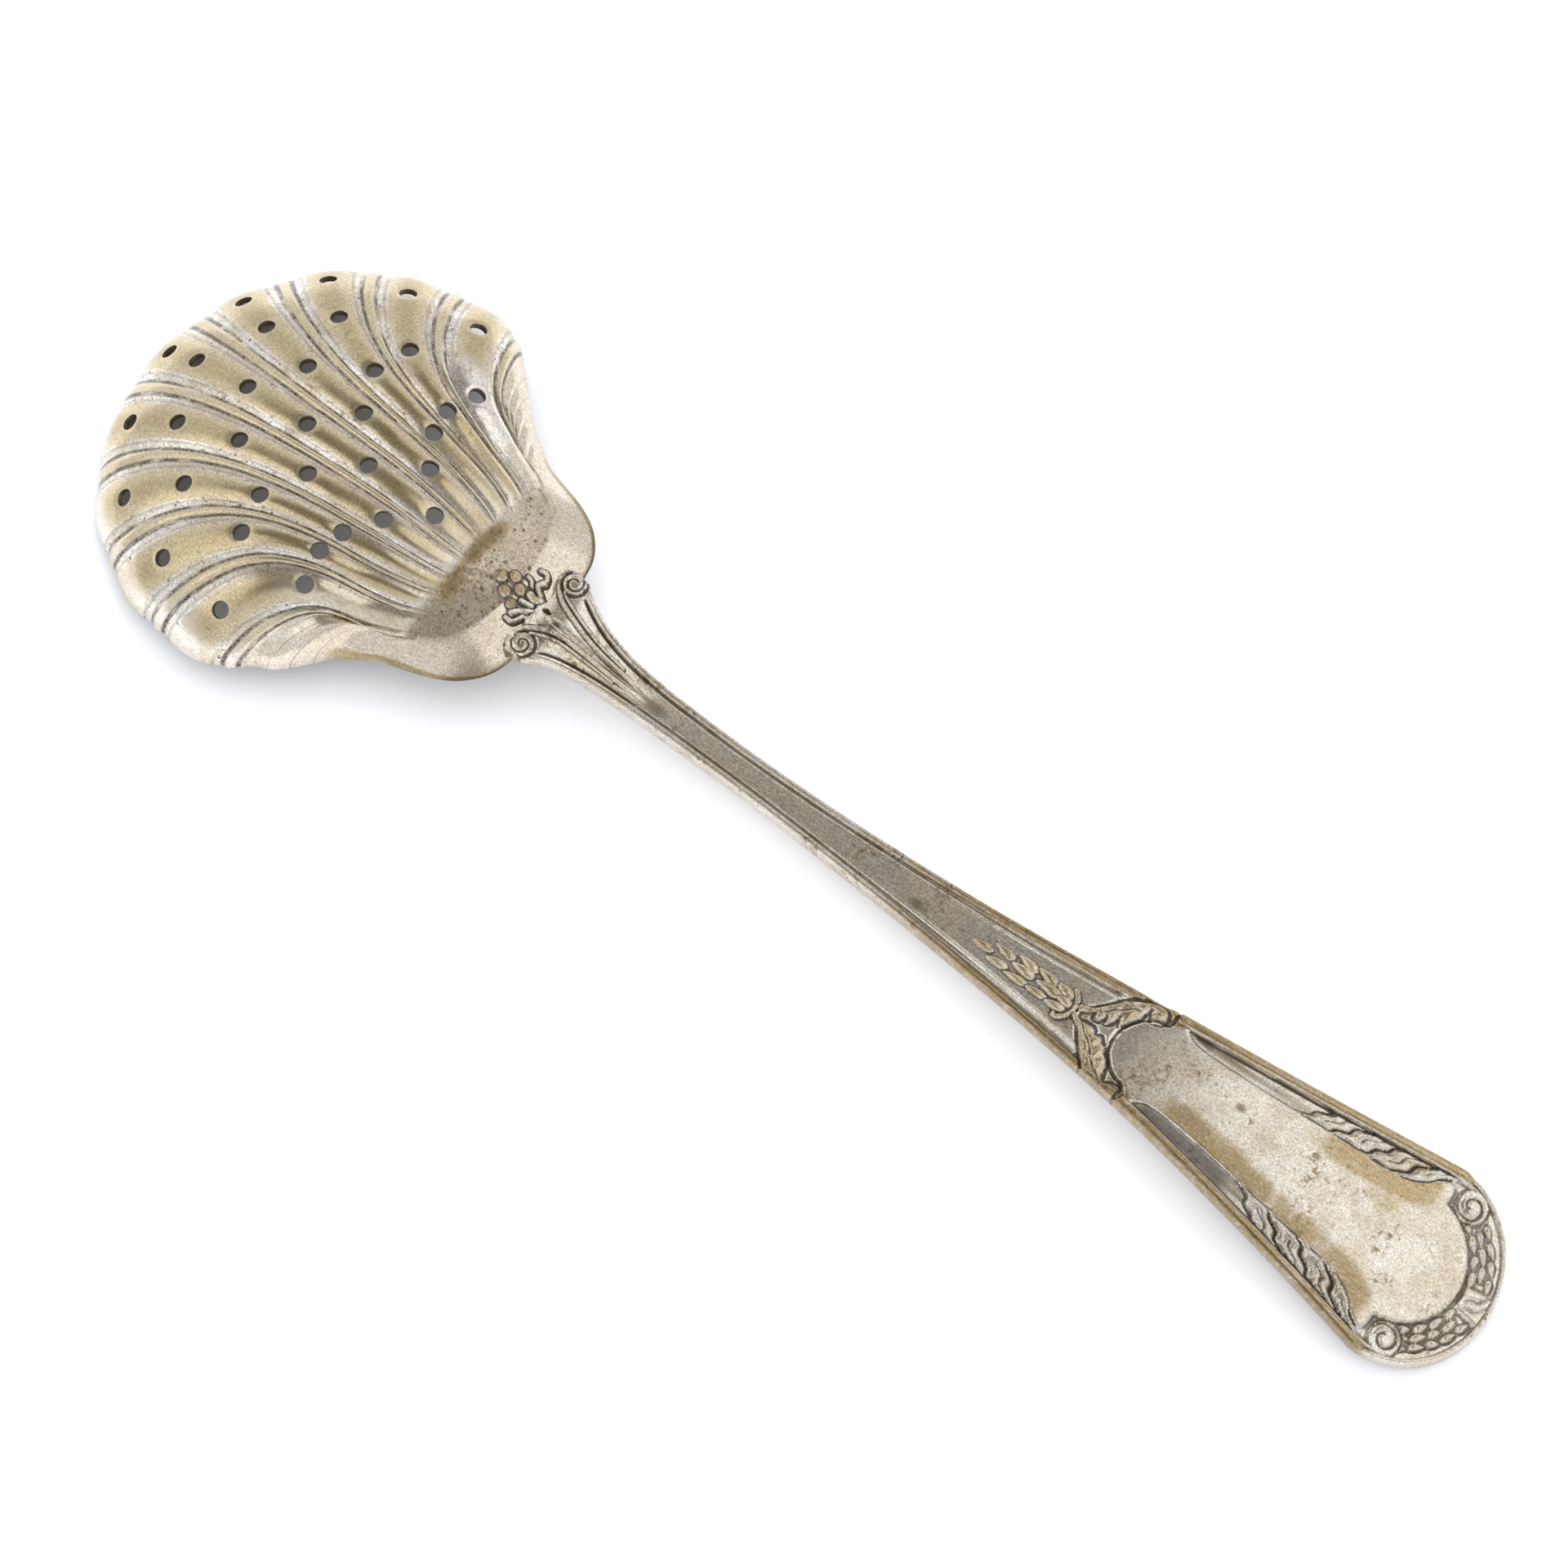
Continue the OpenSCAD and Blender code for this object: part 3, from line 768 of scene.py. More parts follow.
def handle_top(u, y):
    """Points of the struck top, with the distances to the cartouche and the edge."""
    relief, shield, edge = handle_relief(u, y)
    x = skew(u, y)
    skin_z = bowl_z(x, y)
    on_plate = skin_z + 0.35 + 0.95 * smooth(ROOT_X, 68, u)
    raised = mix(spine_at(u), on_plate, smooth(72, 62, u)) + relief
    plate = np.maximum(smooth(-0.15, 0.12, root_plate(u, y)), smooth(66.1, 66.5, u))
    z = mix(skin_z - 0.14, raised, plate)
    for cy, radius, pitch, start, turn in ROOT_SCROLLS:
        body, r = scroll(u, y, ROOT_SCROLL_X, cy, radius, pitch, start, turn)
        moat = bump((r - radius - 0.25) / 0.35)
        z = z + (u < 68) * (0.42 * body - 0.25 * moat * plate)
    z = z - 0.7 * dome_shape(spot(u, y, 64.5, 0.35, 0.62, 0.34) ** 2)
    # over the root only the ornament stands out of the bowl's back
    over = smooth(66.4, 65.6, u)
    sprig, gap = neck_relief(u, y)
    # painted shade: a thin skirt just over the bowl's back round the ornament's foot, which the material
    # darkens
    sprig = np.maximum(sprig, 0.05 - 0.19 * smooth(0.12, 0.4, gap))
    z = np.where(over > 0, np.maximum(z, skin_z + sprig * over - 9 * (1 - over)), z)
    return x, z, shield, edge


def handle_under(u, y):
    """Height of the plain underside, which lies in the bowl's back at the root."""
    v = y / handle_half(np.minimum(u, WIDE_X))
    thick = mix(SHAFT_T, END_T, smooth(120, 190, u))
    free = spine_at(u) - thick - 0.25 * (1 - v * v) * within(u, 70, 90, 150, 200)
    return mix(free, bowl_z(skew(u, y), y) - 0.4, smooth(74, 64.5, u))


def handle_grid():
    """Plan points of the mesh: rows across the shaft, then rows that turn into the round end."""
    stations = np.concatenate([
        np.arange(ROOT_X, 80, 0.155), np.arange(80, 129, 0.6), np.arange(129, 158, 0.205),
        np.arange(158, 174, 0.34), np.linspace(174, WIDE_X, 112)])[:, None]
    t = np.linspace(-1, 1, COLUMNS)
    crowd = mix(1.0, 1.3, smooth(150, 170, stations))
    v = np.sign(t) * (1 - (1 - np.abs(t)) ** crowd)
    q = 1 - (1 - np.linspace(0, 1, 62)[1:, None]) ** 1.25
    last = v[-1]
    px, py = q * np.sqrt(1 - last * last / 2), last * np.sqrt(1 - q * q / 2)
    return (np.vstack([stations + 0 * v, WIDE_X + px * (END_ROUND - EDGE_R)]),
            np.vstack([v * (handle_half(stations) - EDGE_R), py * (END_W / 2 - EDGE_R)]))


def edge_rings(rim, under):
    """Rings of points that take the rounded edge from the top's rim down to the underside."""
    tangent = np.roll(rim[:, :2], -1, axis=0) - np.roll(rim[:, :2], 1, axis=0)
    normal = np.stack([-tangent[:, 1], tangent[:, 0]], -1)
    normal /= np.linalg.norm(normal, axis=1)[:, None] + 1e-9
    r = np.minimum(EDGE_R, np.maximum(rim[:, 2] - under, 0.05) * 0.45)
    levels = [(out, rim[:, 2] - r * down) for out, down in QUARTER]
    levels += [(out, under + r * down) for out, down in QUARTER[::-1] + [(0, 0)]]
    return [np.column_stack([rim[:, :2] + normal * (EDGE_R * out), level]) for out, level in levels]


def build_handle():
    u, y = handle_grid()
    x, z, shield, edge = handle_top(u, y)
    bottom = np.stack([x, y, handle_under(u, y)], -1)
    top = np.stack([x, y, z], -1)
    index = np.arange(u.size).reshape(u.shape)
    rim = border(index)
    rings = edge_rings(top.reshape(-1, 3)[rim], bottom.reshape(-1, 3)[rim, 2])
    ring_index = np.vstack([rim, u.size + np.arange(len(rings) * len(rim)).reshape(len(rings), -1)])
    # the plain underside is a coarser grid that shares the last ring's points
    below = np.full(u.shape, -1)
    below.flat[rim] = ring_index[-1]
    picks = slice(UNDER_STEP, -1, UNDER_STEP)
    inner = bottom[1:-1, picks].reshape(-1, 3)
    below[1:-1, picks] = ring_index[-1, -1] + 1 + np.arange(len(inner)).reshape(len(u) - 2, -1)
    faces = grid_faces(index) + grid_faces(closed(ring_index), flip=True)
    for i, (near, far) in enumerate(zip(below, below[1:])):
        for a in range(0, COLUMNS - 1, UNDER_STEP):
            first = near[a:a + UNDER_STEP + 1:1 if i == 0 else UNDER_STEP]
            second = far[a:a + UNDER_STEP + 1:1 if i == len(u) - 2 else UNDER_STEP]
            faces.append(first.tolist() + second[::-1].tolist())
    handle = mesh_object("handle_stem", np.vstack([top.reshape(-1, 3), *rings, inner]), faces)
    numbers = handle_numbers(u, y, z, shield, edge)
    set_values(handle, {name: handle_value(handle, grid, ring_index, 0.5 if name == "cavity" else 1)
                        for name, grid in numbers.items()})
    # the place across the handle, which the material uses for the painted shade on its lower side
    set_values(handle, {"across": mesh_points(handle)[:, 1]})
    shade(handle, 50)
    return handle


def handle_value(handle, grid, ring_index, at_edge):
    """Numbers for all points from those of the top: the edge takes its rim's, the rest is 0."""
    values = np.zeros(len(handle.data.vertices))
    values[:grid.size] = grid.ravel()
    values[ring_index[1:]] = border(grid) * at_edge
    return values


# Worn spots on the handle: place, radii and strength
SPOTS = [(123.3, -1.0, 1.6, 1.0, 0.75), (170.1, 1.8, 1.0, 0.8, 1.0), (82, -0.4, 2.6, 1.1, 0.8)]


def handle_numbers(u, y, z, shield, edge):
    """Numbers the handle's material reads: hollows, worn places, where the ornament is, and where painted
    shade and light go.
    """
    at_end = u > 195.5
    fine = np.clip((soften(z, 3) - z) / 0.024, -1, 1)
    broad = np.clip((soften(z, 14) - z) / 0.11, -1, 1)
    cavity = 0.6 * fine + 0.4 * broad * (1 - 0.7 * at_end)
    beside = smooth(1.2, 1.7, edge) * smooth(0.1, 0.5, -shield) * smooth(CHANNEL_X, 161, u) * (u < 196)
    # painted light: the upper channel beside the cartouche gets less of the hollows' darkening
    cavity = (cavity - 0.3 * beside * (y > 0)) * (1 - 0.2 * at_end)
    # painted shade round the ornament's foot, where the handle lies close over the bowl, kept with the
    # hollows
    foot = smooth(0.42, 0.03, z - bowl_z(skew(u, y), y)) * smooth(66, 65.4, u)
    shield_band = within(shield, -0.2, 0.2, 1.6, 4.2)
    worn = shield_band * np.where(y < 0, smooth(159, 166, u), smooth(174, 184, u)) * smooth(197, 194, u)
    worn = np.maximum(worn, 0.7 * smooth(1, 0.2, spot(u, y, 190, 4, 5, 3.2)))
    worn = np.maximum(worn, smooth(1.6, 0, spot(u, np.abs(y), 158.3, 5.9, 1.2, 0.9)))
    tops = [1 - smooth(0.6, 0.95, spot(u, y, cx, cy, r, r)) for cx, cy, r in BERRIES]
    berries = np.max([0.9 * smooth(0.9, 0.3, spot(u, y, 62.3, 0.7, 1.1, 0.7)), *tops], axis=0)
    spots = np.max([force * smooth(1.0, 0.3, spot(u, y, *place)) for *place, force in SPOTS], axis=0)
    edge_worn = smooth(1.4, 0.9, edge) * smooth(100, 140, u) * (1 - 0.65 * smooth(196.5, 199, u))
    return {"cavity": np.maximum(cavity, 0.95 * foot), "worn": worn, "berries": berries, "spots": spots,
            "grain": smooth(0.12, 0.35, wheat_relief(u, y)[0]), "edge_worn": edge_worn,
            # the lower channel, which the material darkens: partly dirt, partly painted shade
            "channel": beside * (y < 0) * (1 - 0.75 * smooth(173, 176, u))}


# -------- solder
SOLDER_X = (56.4, 66.2)
SOLDER_HALF = 7.4
SOLDER_INSET = 0.6


def build_solder():
    """A thin fillet of silver solder that creeps up round the foot of the ornament."""
    along, across = np.linspace(*SOLDER_X, 120), np.linspace(-SOLDER_HALF, SOLDER_HALF, 150)
    u, y = np.meshgrid(along, across, indexing="ij")
    phi, r = polar(u, y)
    pull = np.minimum(1, (outline_r(phi) - SOLDER_INSET) / r)
    u, y = BOWL_R + (u - BOWL_R) * pull, y * pull
    berries = [berry_r - np.hypot(u - cx, y - cy) for cx, cy, berry_r in BERRIES]
    near = np.max([root_plate(u, y), *berries], axis=0)
    phi, r = polar(u, y)
    on_bowl = smooth(0.0, 0.8, outline_r(phi) - r)
    skin_z = bowl_z(u, y)
    lift = 0.16 * np.exp(-np.clip(-near, 0, 9) / 0.22) - 0.06
    top = skin_z + lift * on_bowl - 0.3 * (1 - on_bowl)
    low = np.minimum(skin_z - 0.25, top - 0.05)
    points = [np.stack([u, y, level], -1).reshape(-1, 3) for level in (top, low)]
    index = np.arange(u.size).reshape(u.shape)
    walls = closed(np.stack([border(index), border(index) + u.size]))
    faces = grid_faces(index) + grid_faces(index + u.size, flip=True) + grid_faces(walls, flip=True)
    solder = mesh_object("solder_fillet", np.vstack(points), faces)
    shade(solder, 60)
    return solder


# -------- shader helpers
def joined(operation, flip=False):
    """A method that joins a shader value and another one by a maths node."""
    def method(*values):
        return values[0].nodes.maths(operation, *(values[::-1] if flip else values))
    return method


class Wire:
    """A shader value that is added, multiplied and compared like a number."""

    def __init__(self, nodes, socket):
        self.nodes = nodes
        self.socket = socket

    __add__ = joined("ADD")
    __sub__ = joined("SUBTRACT")
    __rsub__ = joined("SUBTRACT", flip=True)
    __mul__ = joined("MULTIPLY")
    __truediv__ = joined("DIVIDE")
    __abs__ = joined("ABSOLUTE")
    round = joined("ROUND")
    fract = joined("FRACT")
    most = joined("MAXIMUM")
    least = joined("MINIMUM")

    def span(self, low, high, to_low=0.0, to_high=1.0):
        """Runs softly from to_low at low to to_high at high."""
        node = self.nodes.add("MapRange", self, low, high, to_low, to_high)
        node.interpolation_type = "SMOOTHSTEP"
        return Wire(self.nodes, node.outputs[0])


class Nodes:
    """A material's node tree, with short names for the nodes used here."""

    def __init__(self, name):
        self.material = bpy.data.materials.new(name)
        self.material.use_nodes = True
        self.tree = self.material.node_tree
        self.shader = self.tree.nodes["Principled BSDF"]

    def put(self, socket, value):
        if isinstance(value, Wire):
            self.tree.links.new(value.socket, socket)
        else:
            socket.default_value = value

    def add(self, kind, *values):
        """A new shader node with its first inputs filled in."""
        node = self.tree.nodes.new("ShaderNode" + kind)
        for socket, value in zip(node.inputs, values):
            self.put(socket, value)
        return node

    def values(self, *names):
        """Numbers stored on the mesh."""
        wires = []
        for name in names:
            node = self.add("Attribute")
            node.attribute_name = name
            wires.append(Wire(self, node.outputs["Fac"]))
        return wires

    def maths(self, operation, *values):
        node = self.add("Math", *values)
        node.operation = operation
        return Wire(self, node.outputs[0])

    def blend(self, fac, a, b, mode="MIX"):
        node = self.add("Mix")
        node.data_type = "RGBA"
        node.blend_type = mode
        for index, value in ((0, fac), (6, a), (7, b)):
            self.put(node.inputs[index], value)
        return Wire(self, node.outputs[2])

    def place(self, x, y, z=0.0):
        return Wire(self, self.add("CombineXYZ", x, y, z).outputs[0])

    def object_place(self, scale=(1, 1, 1), turn=0):
        """The place on the object, stretched and turned about Z."""
        node = self.add("Mapping", Wire(self, self.add("TexCoord").outputs["Object"]))
        node.inputs["Scale"].default_value = scale
        node.inputs["Rotation"].default_value[2] = math.radians(turn)
        return Wire(self, node.outputs[0])

    def noise(self, scale, detail=4, rough=0.6, warp=0.0, where=None):
        node = self.add("TexNoise")
        settings = {"Vector": where or self.object_place(), "Scale": scale, "Detail": detail,
                    "Roughness": rough, "Distortion": warp}
        for name, value in settings.items():
            self.put(node.inputs[name], value)
        return Wire(self, node.outputs["Fac"])

    def pits(self, scale, size, share):
        """Small dark pits: 1 inside a pit. share is the part of the cells that hold one."""
        cells = self.add("TexVoronoi")
        self.put(cells.inputs["Vector"], self.object_place())
        cells.inputs["Scale"].default_value = scale
        pick = self.add("SeparateColor", Wire(self, cells.outputs["Color"]))
        reach = Wire(self, pick.outputs[1]).span(0, 1, size * 0.5, size)
        inside = 1.0 - (Wire(self, cells.outputs["Distance"]) / reach).span(0.5, 1.0)
        return inside * self.maths("LESS_THAN", Wire(self, pick.outputs[0]), share)

    def scratches(self, angle, scale, thin):
        """Fine lines that run one way."""
        lines = self.noise(scale, 2, 0.5, 0.1, self.object_place((1, 22, 1), angle))
        return lines.span(thin, thin + 0.06)

    def grainy(self, colour, grain, low, high):
        """The colour made lighter and darker by a fine grain."""
        level = grain.span(0.3, 0.7, low, high)
        return self.blend(1.0, colour, self.place(level, level, level), "MULTIPLY")

    def finish_metal(self, colour, darkening, rough, height):
        """Common end of the metal materials."""
        relief = self.add("Bump")
        relief.inputs["Strength"].default_value = 0.6
        relief.inputs["Distance"].default_value = 0.00012
        self.put(relief.inputs["Height"], height)
        # the dark mask blends towards a near-black brown used both for dirt and for painted shade
        self.put(self.shader.inputs["Base Color"], self.blend(darkening, colour, DIRT_AND_SHADE))
        self.put(self.shader.inputs["Metallic"], darkening.span(0.1, 0.9, 0.95, 0.2))
        self.put(self.shader.inputs["Roughness"], rough)
        self.put(self.shader.inputs["Normal"], Wire(self, relief.outputs[0]))
        return self.material


class WorldNodes(Nodes):
    """The same helpers for the world's shader."""

    def __init__(self, world):
        self.tree = world.node_tree

    def patch(self, toward, outer, inner):
        """1 within the inner angle of a direction, 0 beyond the outer one."""
        sight = Wire(self, self.add("TexCoord").outputs["Generated"])
        dot = self.add("VectorMath", sight, Vector(toward).normalized())
        dot.operation = "DOT_PRODUCT"
        edges = [math.cos(math.radians(angle)) for angle in (outer, inner)]
        return Wire(self, dot.outputs["Value"]).span(*edges)


# -------- materials
SILVER = (0.73, 0.635, 0.49, 1)
# cool silver: a tone of the handle's plate, and the bowl's painted highlight round the holes
COOL_SILVER = (0.83, 0.78, 0.69, 1)
BRIGHT_SILVER = (0.93, 0.885, 0.81, 1)
DULL_AND_SHADED_SILVER = (0.58, 0.49, 0.37, 1)
HEEL_SHADE_SILVER = (0.36, 0.31, 0.24, 1)
SCRATCH_SILVER = (0.92, 0.88, 0.8, 1)
BRASS = (0.57, 0.465, 0.275, 1)
PALE_BRASS = (0.70, 0.59, 0.39, 1)
DARK_BRASS = (0.27, 0.185, 0.095, 1)
GOLD = (0.50, 0.375, 0.20, 1)
LOW_SIDE_SHADE_GOLD = (0.38, 0.275, 0.14, 1)
SOLDER_GREY = (0.5, 0.47, 0.42, 1)
SOLDER_BROWN = (0.3, 0.24, 0.17, 1)
# near-black brown for dirt and pits, and for painted shade
DIRT_AND_SHADE = (0.035, 0.026, 0.016, 1)
# brown for stains on the handle, and for painted shade on the bowl's inner side
BROWN = (0.16, 0.095, 0.045, 1)


def bowl_material():
    """Silver in the valleys, bare brass on the crests and beads, grime along their feet, with painted shade
    on one flank of each lobe, on the heel's lower side, in the holes and on the inner side, and a painted
    highlight round each hole.
    """
    n = Nodes("worn_bowl_plate")
    hole, inset, groove, flute, way, begin = n.values("hole", "inset", "groove", "flute", "way", "begin")
    cloud = n.noise(160, 4, 0.6, 0.4)
    patch = n.noise(45, 3)
    speck = n.noise(1400, 2)
    grain = n.noise(3600, 4, 0.75)
    streak = n.noise(9, 5, 0.7, where=n.place(flute, way * 2.2))
    # where across its flute a point lies: 0 on the crest, 0.5 on the bead between two flutes
    outward = abs(flute)
    across = abs(outward - outward.round()) + (cloud - 0.5) * 0.05
    main = begin * outward.span(SIDE_FROM - 0.04, SIDE_FROM, 1.0, 0.0)
    side = begin * outward.span(SIDE_FROM - 0.02, SIDE_FROM + 0.04)
    heel = 1.0 - begin.most(outward.span(5.2, 6.2))
    ear = way.span(0.955, 0.985) * outward.span(5.25, 5.7)
    # brass shows on the crests and beads, less by the rim, towards the heel and at the sides
    crest = across.span(CREST_HALF - 0.07, CREST_HALF, 1.0, 0.0)
    bead = across.span(0.5 - BEAD_HALF, 0.54 - BEAD_HALF)
    less = way.span(0.1, 0.42, 0.5, 1.0) * way.span(0.955, 1.0, 1.0, 0.35)
    less = less * (1.0 - outward.span(3.4, 4.0) * way.span(0.9, 0.7) * 0.5)
    less = less * (1.0 - flute.span(3.35, 3.7) * way.span(0.9, 0.76) * 0.75)
    wear = crest.most(bead * 0.8) * less * main * patch.span(0.3, 0.6, 0.75, 1.0)
    wear = wear.most(groove * cloud.span(0.3, 0.6, 0.6, 1.1))
    wear = wear + cloud.span(0.55, 0.72, 0, 0.45) + grain.span(0.35, 0.65, -0.16, 0.16)
    wear = wear.most(ear * patch.span(0.4, 0.55, 0.3, 0.9))
    # the silver is filmed over in streaks and at the heel, and painted shade darkens the flank of each lobe
    # that leans one way and the heel's lower side
    silver = n.blend(cloud.span(0.35, 0.65), BRIGHT_SILVER, SILVER)
    silver = n.blend(outward.span(4.4, 5.4, 0.0, 0.7), silver, SILVER)
    # painted shade: the flank on the +y side of each lobe is darkened
    shaded_flank = (flute - flute.round()).span(0.2, 0.3) * streak.span(0.3, 0.6, 0.55, 1.0)
    film_and_flank_shade = streak.span(0.5, 0.66).most(shaded_flank * main) * way.span(0.97, 0.8)
    silver = n.blend(film_and_flank_shade * 0.75, silver, DULL_AND_SHADED_SILVER)
    silver = n.blend(heel * 0.75, silver, DULL_AND_SHADED_SILVER)
    # painted shade: the heel's silver darkens towards its lower (-y) side
    silver = n.blend(heel * flute.span(0.5, -2.5) * 0.9, silver, HEEL_SHADE_SILVER)
    brass = n.blend((across + streak * 0.15).span(0.12, 0.3), BRASS, PALE_BRASS)
    brass = n.blend(groove.most(ear * 0.6), brass, DARK_BRASS)
    colour = n.blend(wear.span(0.25, 0.85), silver, brass)
    stain = heel * n.noise(110, 4, 0.7, 0.6).span(0.48, 0.62, 0.2, 1.0)
    fleck = n.noise(1100, 5, 0.75, 0.5).span(0.46, 0.6)
    colour = n.blend(stain * fleck * 0.8, colour, DARK_BRASS)
    colour = n.grainy(colour, grain, 0.62, 1.16)
    # grime lies in broken lines beside the crests, the beads and the side ribs
    by_crest = abs(across - (CREST_HALF + 0.01)).span(0.01, 0.03, 0.4, 0.0)
    by_bead = abs(across - LOBE_HALF).span(0.014, 0.042, 1.0, 0.0)
    by_rib = ((outward - SIDE_FROM) / RIB_GAP).fract().span(0.88, 0.97) * outward.span(5.4, 5.7, 1.0, 0.0)
    lines = (by_crest.most(by_bead) * main).most(by_rib * side * 0.6)
    grime = lines * streak.span(0.36, 0.52, 0.2, 1.0) * grain.span(0.35, 0.55, 0.3, 1.0)
    valley = (1.0 - crest.most(bead)) * main
    pit = n.pits(1500, 0.5, 0.07).most(heel * n.pits(1150, 0.5, 0.2))
    smudge = n.noise(2300, 4, 0.7, 0.5).span(0.54, 0.63)
    dots = pit.most(smudge * 0.8) * (valley.most(heel) + 0.3).least(1.0)
    # round the holes, inside them and on the bowl's inner side: a painted highlight rings each hole, and
    # painted shade darkens the holes' walls and turns the inner side brown
    hole_glint = hole.span(1.1, 1.3) * hole.span(1.45, 1.75, 1.0, 0.0)
    wall = hole.span(1.16, 1.2, 1.0, 0.0) * inset.span(0.0, 0.15)
    # grime and pits are dirt; the holes' walls are darkened as painted shade
    darkening = grime.most(dots * 0.85).most(wall * 0.9)
    # painted shade: the inner side is browned so that the holes look dark
    colour = n.blend(inset.span(0.45, 0.85) * 0.8, colour, BROWN)
    # painted highlight: a paler ring round each hole
    colour = n.blend(hole_glint * 0.15, colour, COOL_SILVER)
    rough = (cloud + speck * 0.3).span(0.4, 0.9, 0.13, 0.28) + heel * 0.2
    return n.finish_metal(colour, darkening, rough, speck * 0.07 + cloud * 0.3 - dots * 0.1)


def handle_material():
    """Silver with brass where the ornament and edges are rubbed, and grime in the hollows, with painted
    shade on the lower side's brass, in the lower channel and round the ornament's foot, and painted light
    in the upper channel.
    """
    n = Nodes("worn_handle_plate")
    cavity, worn, grain, berries, spots, edge_worn, across, channel = n.values(
        "cavity", "worn", "grain", "berries", "spots", "edge_worn", "across", "channel")
    cloud = n.noise(190, 4, 0.6, 0.4)
    patch = n.noise(60, 3)
    speck = n.noise(1500, 2)
    dust = n.noise(3600, 4, 0.75)
    wear = (cavity.span(-0.1, -0.55) * (grain + 0.3)).most(worn * cloud.span(0.3, 0.55, 0.7, 1.05))
    wear = wear.most(grain * 0.7).most(berries * 0.9).most(edge_worn * 0.9)
    wear = wear * patch.span(0.3, 0.55, 0.7, 1.0) + cloud.span(0.62, 0.8, 0, 0.2)
    silver = n.blend(cloud.span(0.35, 0.7), COOL_SILVER, SILVER)
    brass = n.blend(cloud.span(0.35, 0.65), GOLD, PALE_BRASS)
    rubbed = worn.most(edge_worn).most(berries)
    # painted shade: the rubbed brass is darker on the handle's lower (-y) side
    brass = n.blend(rubbed * 0.9, brass, n.blend(across.span(-2, 2), LOW_SIDE_SHADE_GOLD, GOLD))
    colour = n.blend(wear.span(0.2, 0.85), silver, brass)
    marks = n.scratches(-52, 420, 0.6).most(n.scratches(-75, 300, 0.62)).most(n.scratches(3, 500, 0.58))
    colour = n.blend(marks * 0.3, colour, SCRATCH_SILVER)
    colour = n.grainy(colour, dust, 0.6, 1.16)
    stain = n.noise(150, 4, 0.72, 0.7).span(0.52, 0.64)
    fleck = n.noise(1300, 5, 0.75, 0.5).span(0.47, 0.6)
    colour = n.blend((stain * 0.85 + 0.12) * fleck, colour, DARK_BRASS)
    colour = n.blend(spots * 0.75, colour, BROWN)
    # dirt in the hollows, and painted shade round the ornament's foot, which the cavity numbers also carry
    darkening = (cavity + (cloud - 0.5) * 0.6).span(0.15, 0.7)
    # the lower channel beside the cartouche is darkened: partly dirt, partly painted shade
    darkening = darkening.most(channel * dust.span(0.3, 0.7, 0.72, 1.0))
    smudge = n.noise(2600, 4, 0.7, 0.5).span(0.58, 0.68) * patch.span(0.42, 0.6, 0.35, 1.0)
    pit = n.pits(1700, 0.5, 0.05).most(smudge * 0.8)
    darkening = darkening.most(pit * 0.55) * 0.94
    rough = (cloud + speck * 0.3).span(0.4, 0.9, 0.13, 0.28)
    height = speck * 0.07 + cloud * 0.25 - pit * 0.1 - marks * 0.03
    return n.finish_metal(colour, darkening, rough, height)


def solder_material():
    n = Nodes("silver_solder")
    cloud = n.noise(700)
    colour = n.blend(cloud.span(0.4, 0.65), SOLDER_GREY, SOLDER_BROWN)
    darkening = n.noise(1100, 4, 0.7).span(0.52, 0.7, 0.0, 0.8)
    return n.finish_metal(colour, darkening, 0.45, cloud)


# -------- stage
FLOOR_REACH = 6.0
FLOOR_WHITE = (0.93, 0.94, 0.955, 1)


def build_floor():
    e = FLOOR_REACH
    mesh = bpy.data.meshes.new("floor")
    mesh.from_pydata([(-e, -e, 0), (e, -e, 0), (e, e, 0), (-e, e, 0)], [], [(0, 1, 2, 3)])
    floor = bpy.data.objects.new("floor", mesh)
    bpy.context.scene.collection.objects.link(floor)
    n = Nodes("white_table")
    n.shader.inputs["Base Color"].default_value = FLOOR_WHITE
    n.shader.inputs["Roughness"].default_value = 0.9
    mesh.materials.append(n.material)


# The camera stands off the side of the handle, looking steeply down: angles in degrees, the rest
# in metres, and the lens in millimetres.
AZIMUTH = 38.31
ELEVATION = 66.5
DISTANCE = 0.663
LOOK_AT = Vector((-0.00418, 0.00335, 0.0))
LENS = 123.07


def aim(obj, place, toward):
    """Puts a camera or light in the scene, facing along a direction."""
    bpy.context.scene.collection.objects.link(obj)
    obj.location = place
    obj.rotation_mode = "QUATERNION"
    obj.rotation_quaternion = toward.to_track_quat("-Z", "Y")


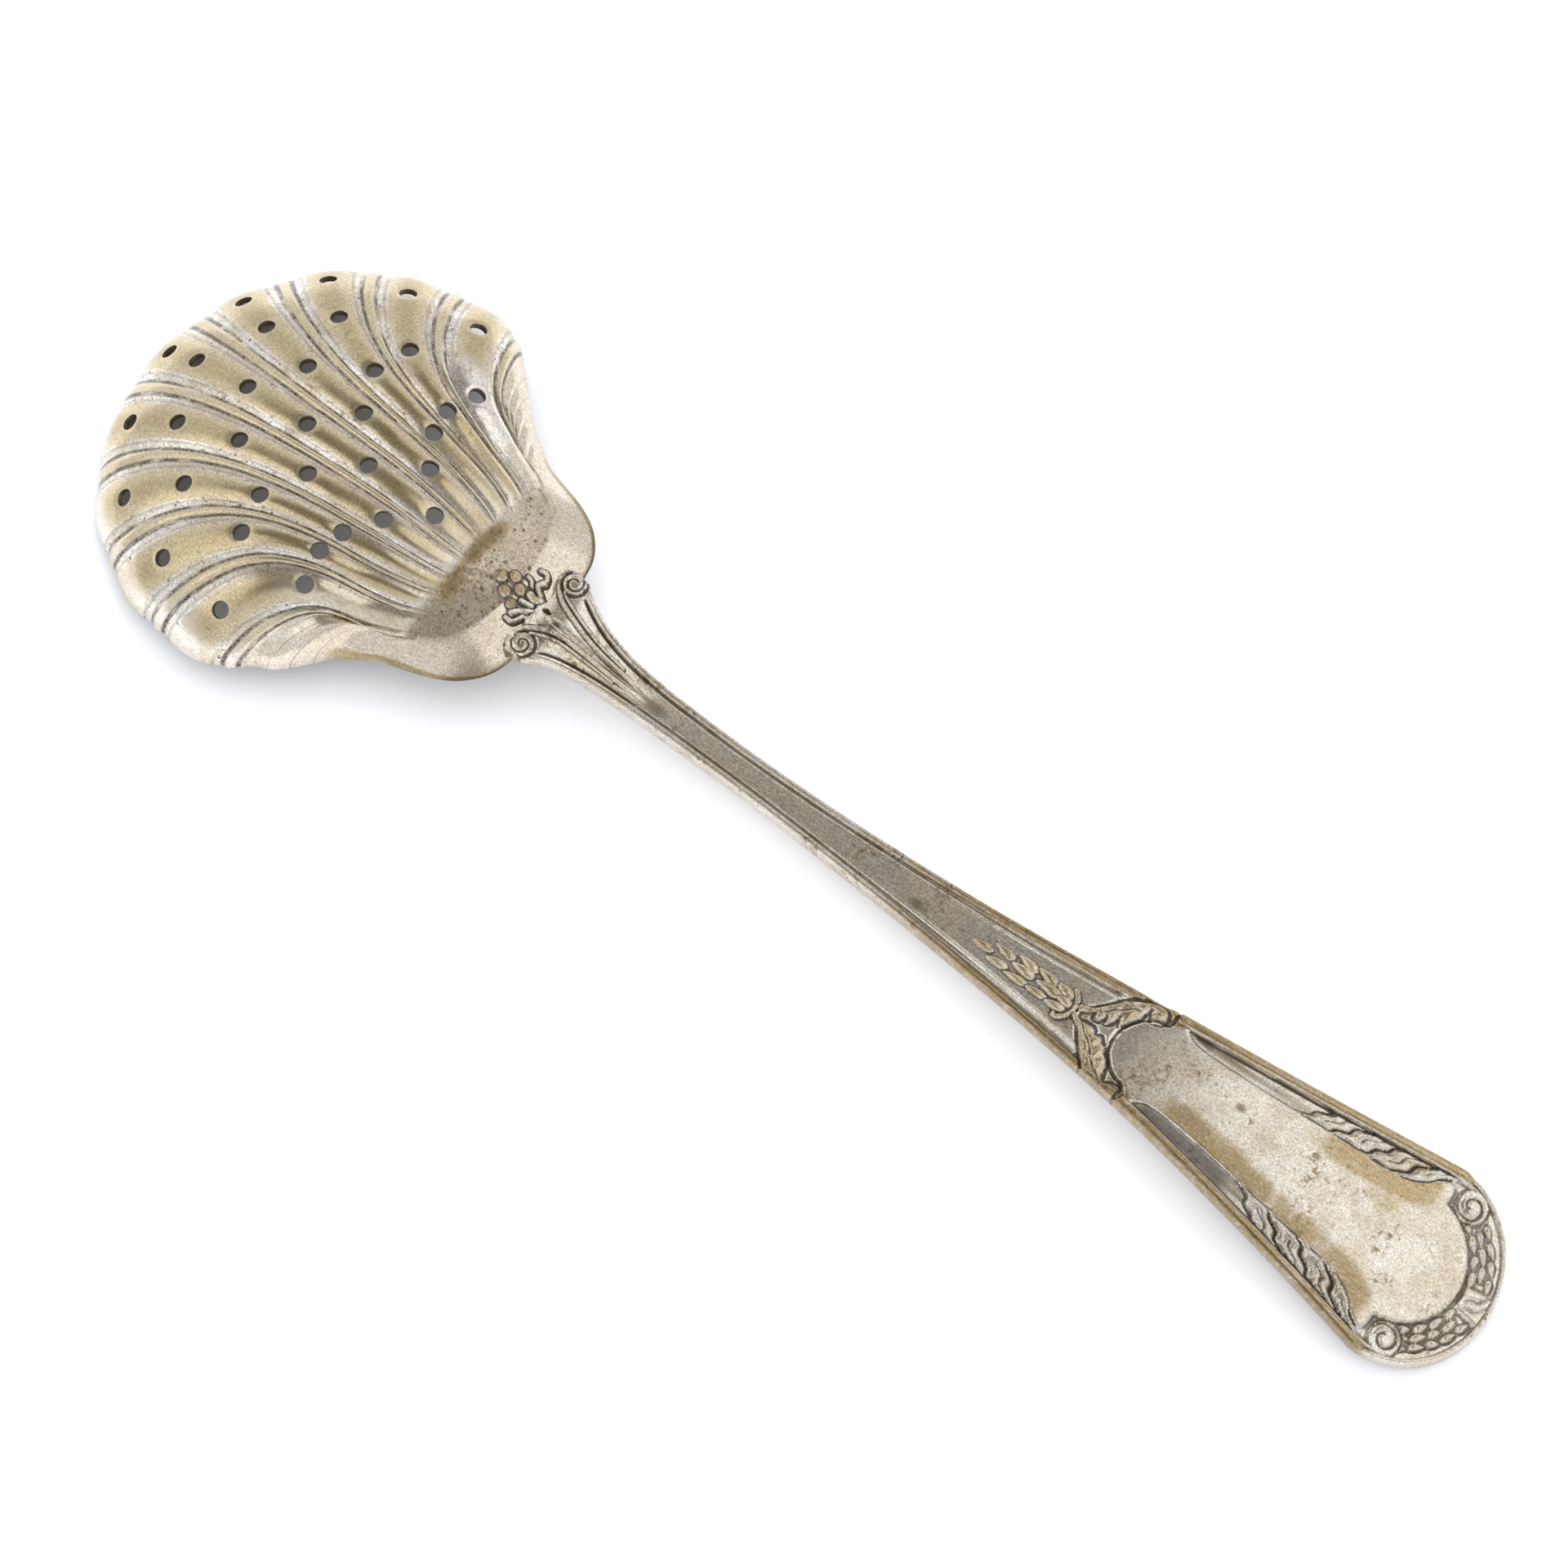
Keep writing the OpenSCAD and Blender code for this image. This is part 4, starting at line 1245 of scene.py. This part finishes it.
def build_camera():
    a, e = math.radians(AZIMUTH), math.radians(ELEVATION)
    back = Vector((math.sin(a) * math.cos(e), -math.cos(a) * math.cos(e), math.sin(e)))
    data = bpy.data.cameras.new("camera")
    data.lens = LENS
    data.sensor_width = 36
    data.clip_start = 0.05
    camera = bpy.data.objects.new("camera", data)
    aim(camera, LOOK_AT + back * DISTANCE, -back)
    bpy.context.scene.camera = camera


# A soft key light from the top of the picture, which the metal doesn't mirror
KEY_UP = 0.5
KEY_RIGHT = 0.12
KEY_HEIGHT = 0.55
KEY_SIZE = (0.5, 0.36)
KEY_POWER = 1.4
# What the metal mirrors: a dim ceiling, pale walls, an overhead softbox and a window
CEILING_GREY = (0.26, 0.245, 0.22, 1)
WALL_WHITE = (0.88, 0.89, 0.92, 1)
BOX_WHITE = (1.2, 1.2, 1.2, 1)
# What lights everything that isn't a mirror
ROOM_WHITE = (1.35, 1.36, 1.4, 1)


def build_lights():
    a = math.radians(AZIMUTH)
    right, up = Vector((math.cos(a), math.sin(a), 0)), Vector((-math.sin(a), math.cos(a), 0))
    place = up * KEY_UP + right * KEY_RIGHT + Vector((0, 0, KEY_HEIGHT))
    data = bpy.data.lights.new("key", "AREA")
    data.shape = "RECTANGLE"
    data.size, data.size_y = KEY_SIZE
    data.energy = KEY_POWER
    light = bpy.data.objects.new("key", data)
    light.visible_glossy = False
    aim(light, place, -place)
    world = bpy.data.worlds.new("studio")
    bpy.context.scene.world = world
    world.use_nodes = True
    n = WorldNodes(world)
    ceiling = n.patch((-0.15, 0.10, 0.98), 42, 23)
    softbox = n.patch((0.26, 0.34, 0.90), 26, 17)
    window = n.patch((-0.55, -0.40, 0.73), 27, 14)
    room = n.blend(ceiling, WALL_WHITE, CEILING_GREY)
    mirrored = n.blend(softbox.most(window), room, BOX_WHITE)
    glossy = Wire(n, n.add("LightPath").outputs["Is Glossy Ray"])
    n.put(n.tree.nodes["Background"].inputs[0], n.blend(glossy, ROOM_WHITE, mirrored))


def main():
    pieces = ((build_bowl(), "bowl", "bowl_plate", bowl_material()),
              (build_handle(), "handle", "handle_plate", handle_material()),
              (build_solder(), "solder_seam", "solder", solder_material()))
    for piece, node, slot, material in pieces:
        piece.data.materials.clear()
        piece.data.materials.append(material)
        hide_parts(node)
    build_floor()
    build_lights()
    build_camera()
    bpy.context.scene.view_settings.view_transform = "Standard"


main()
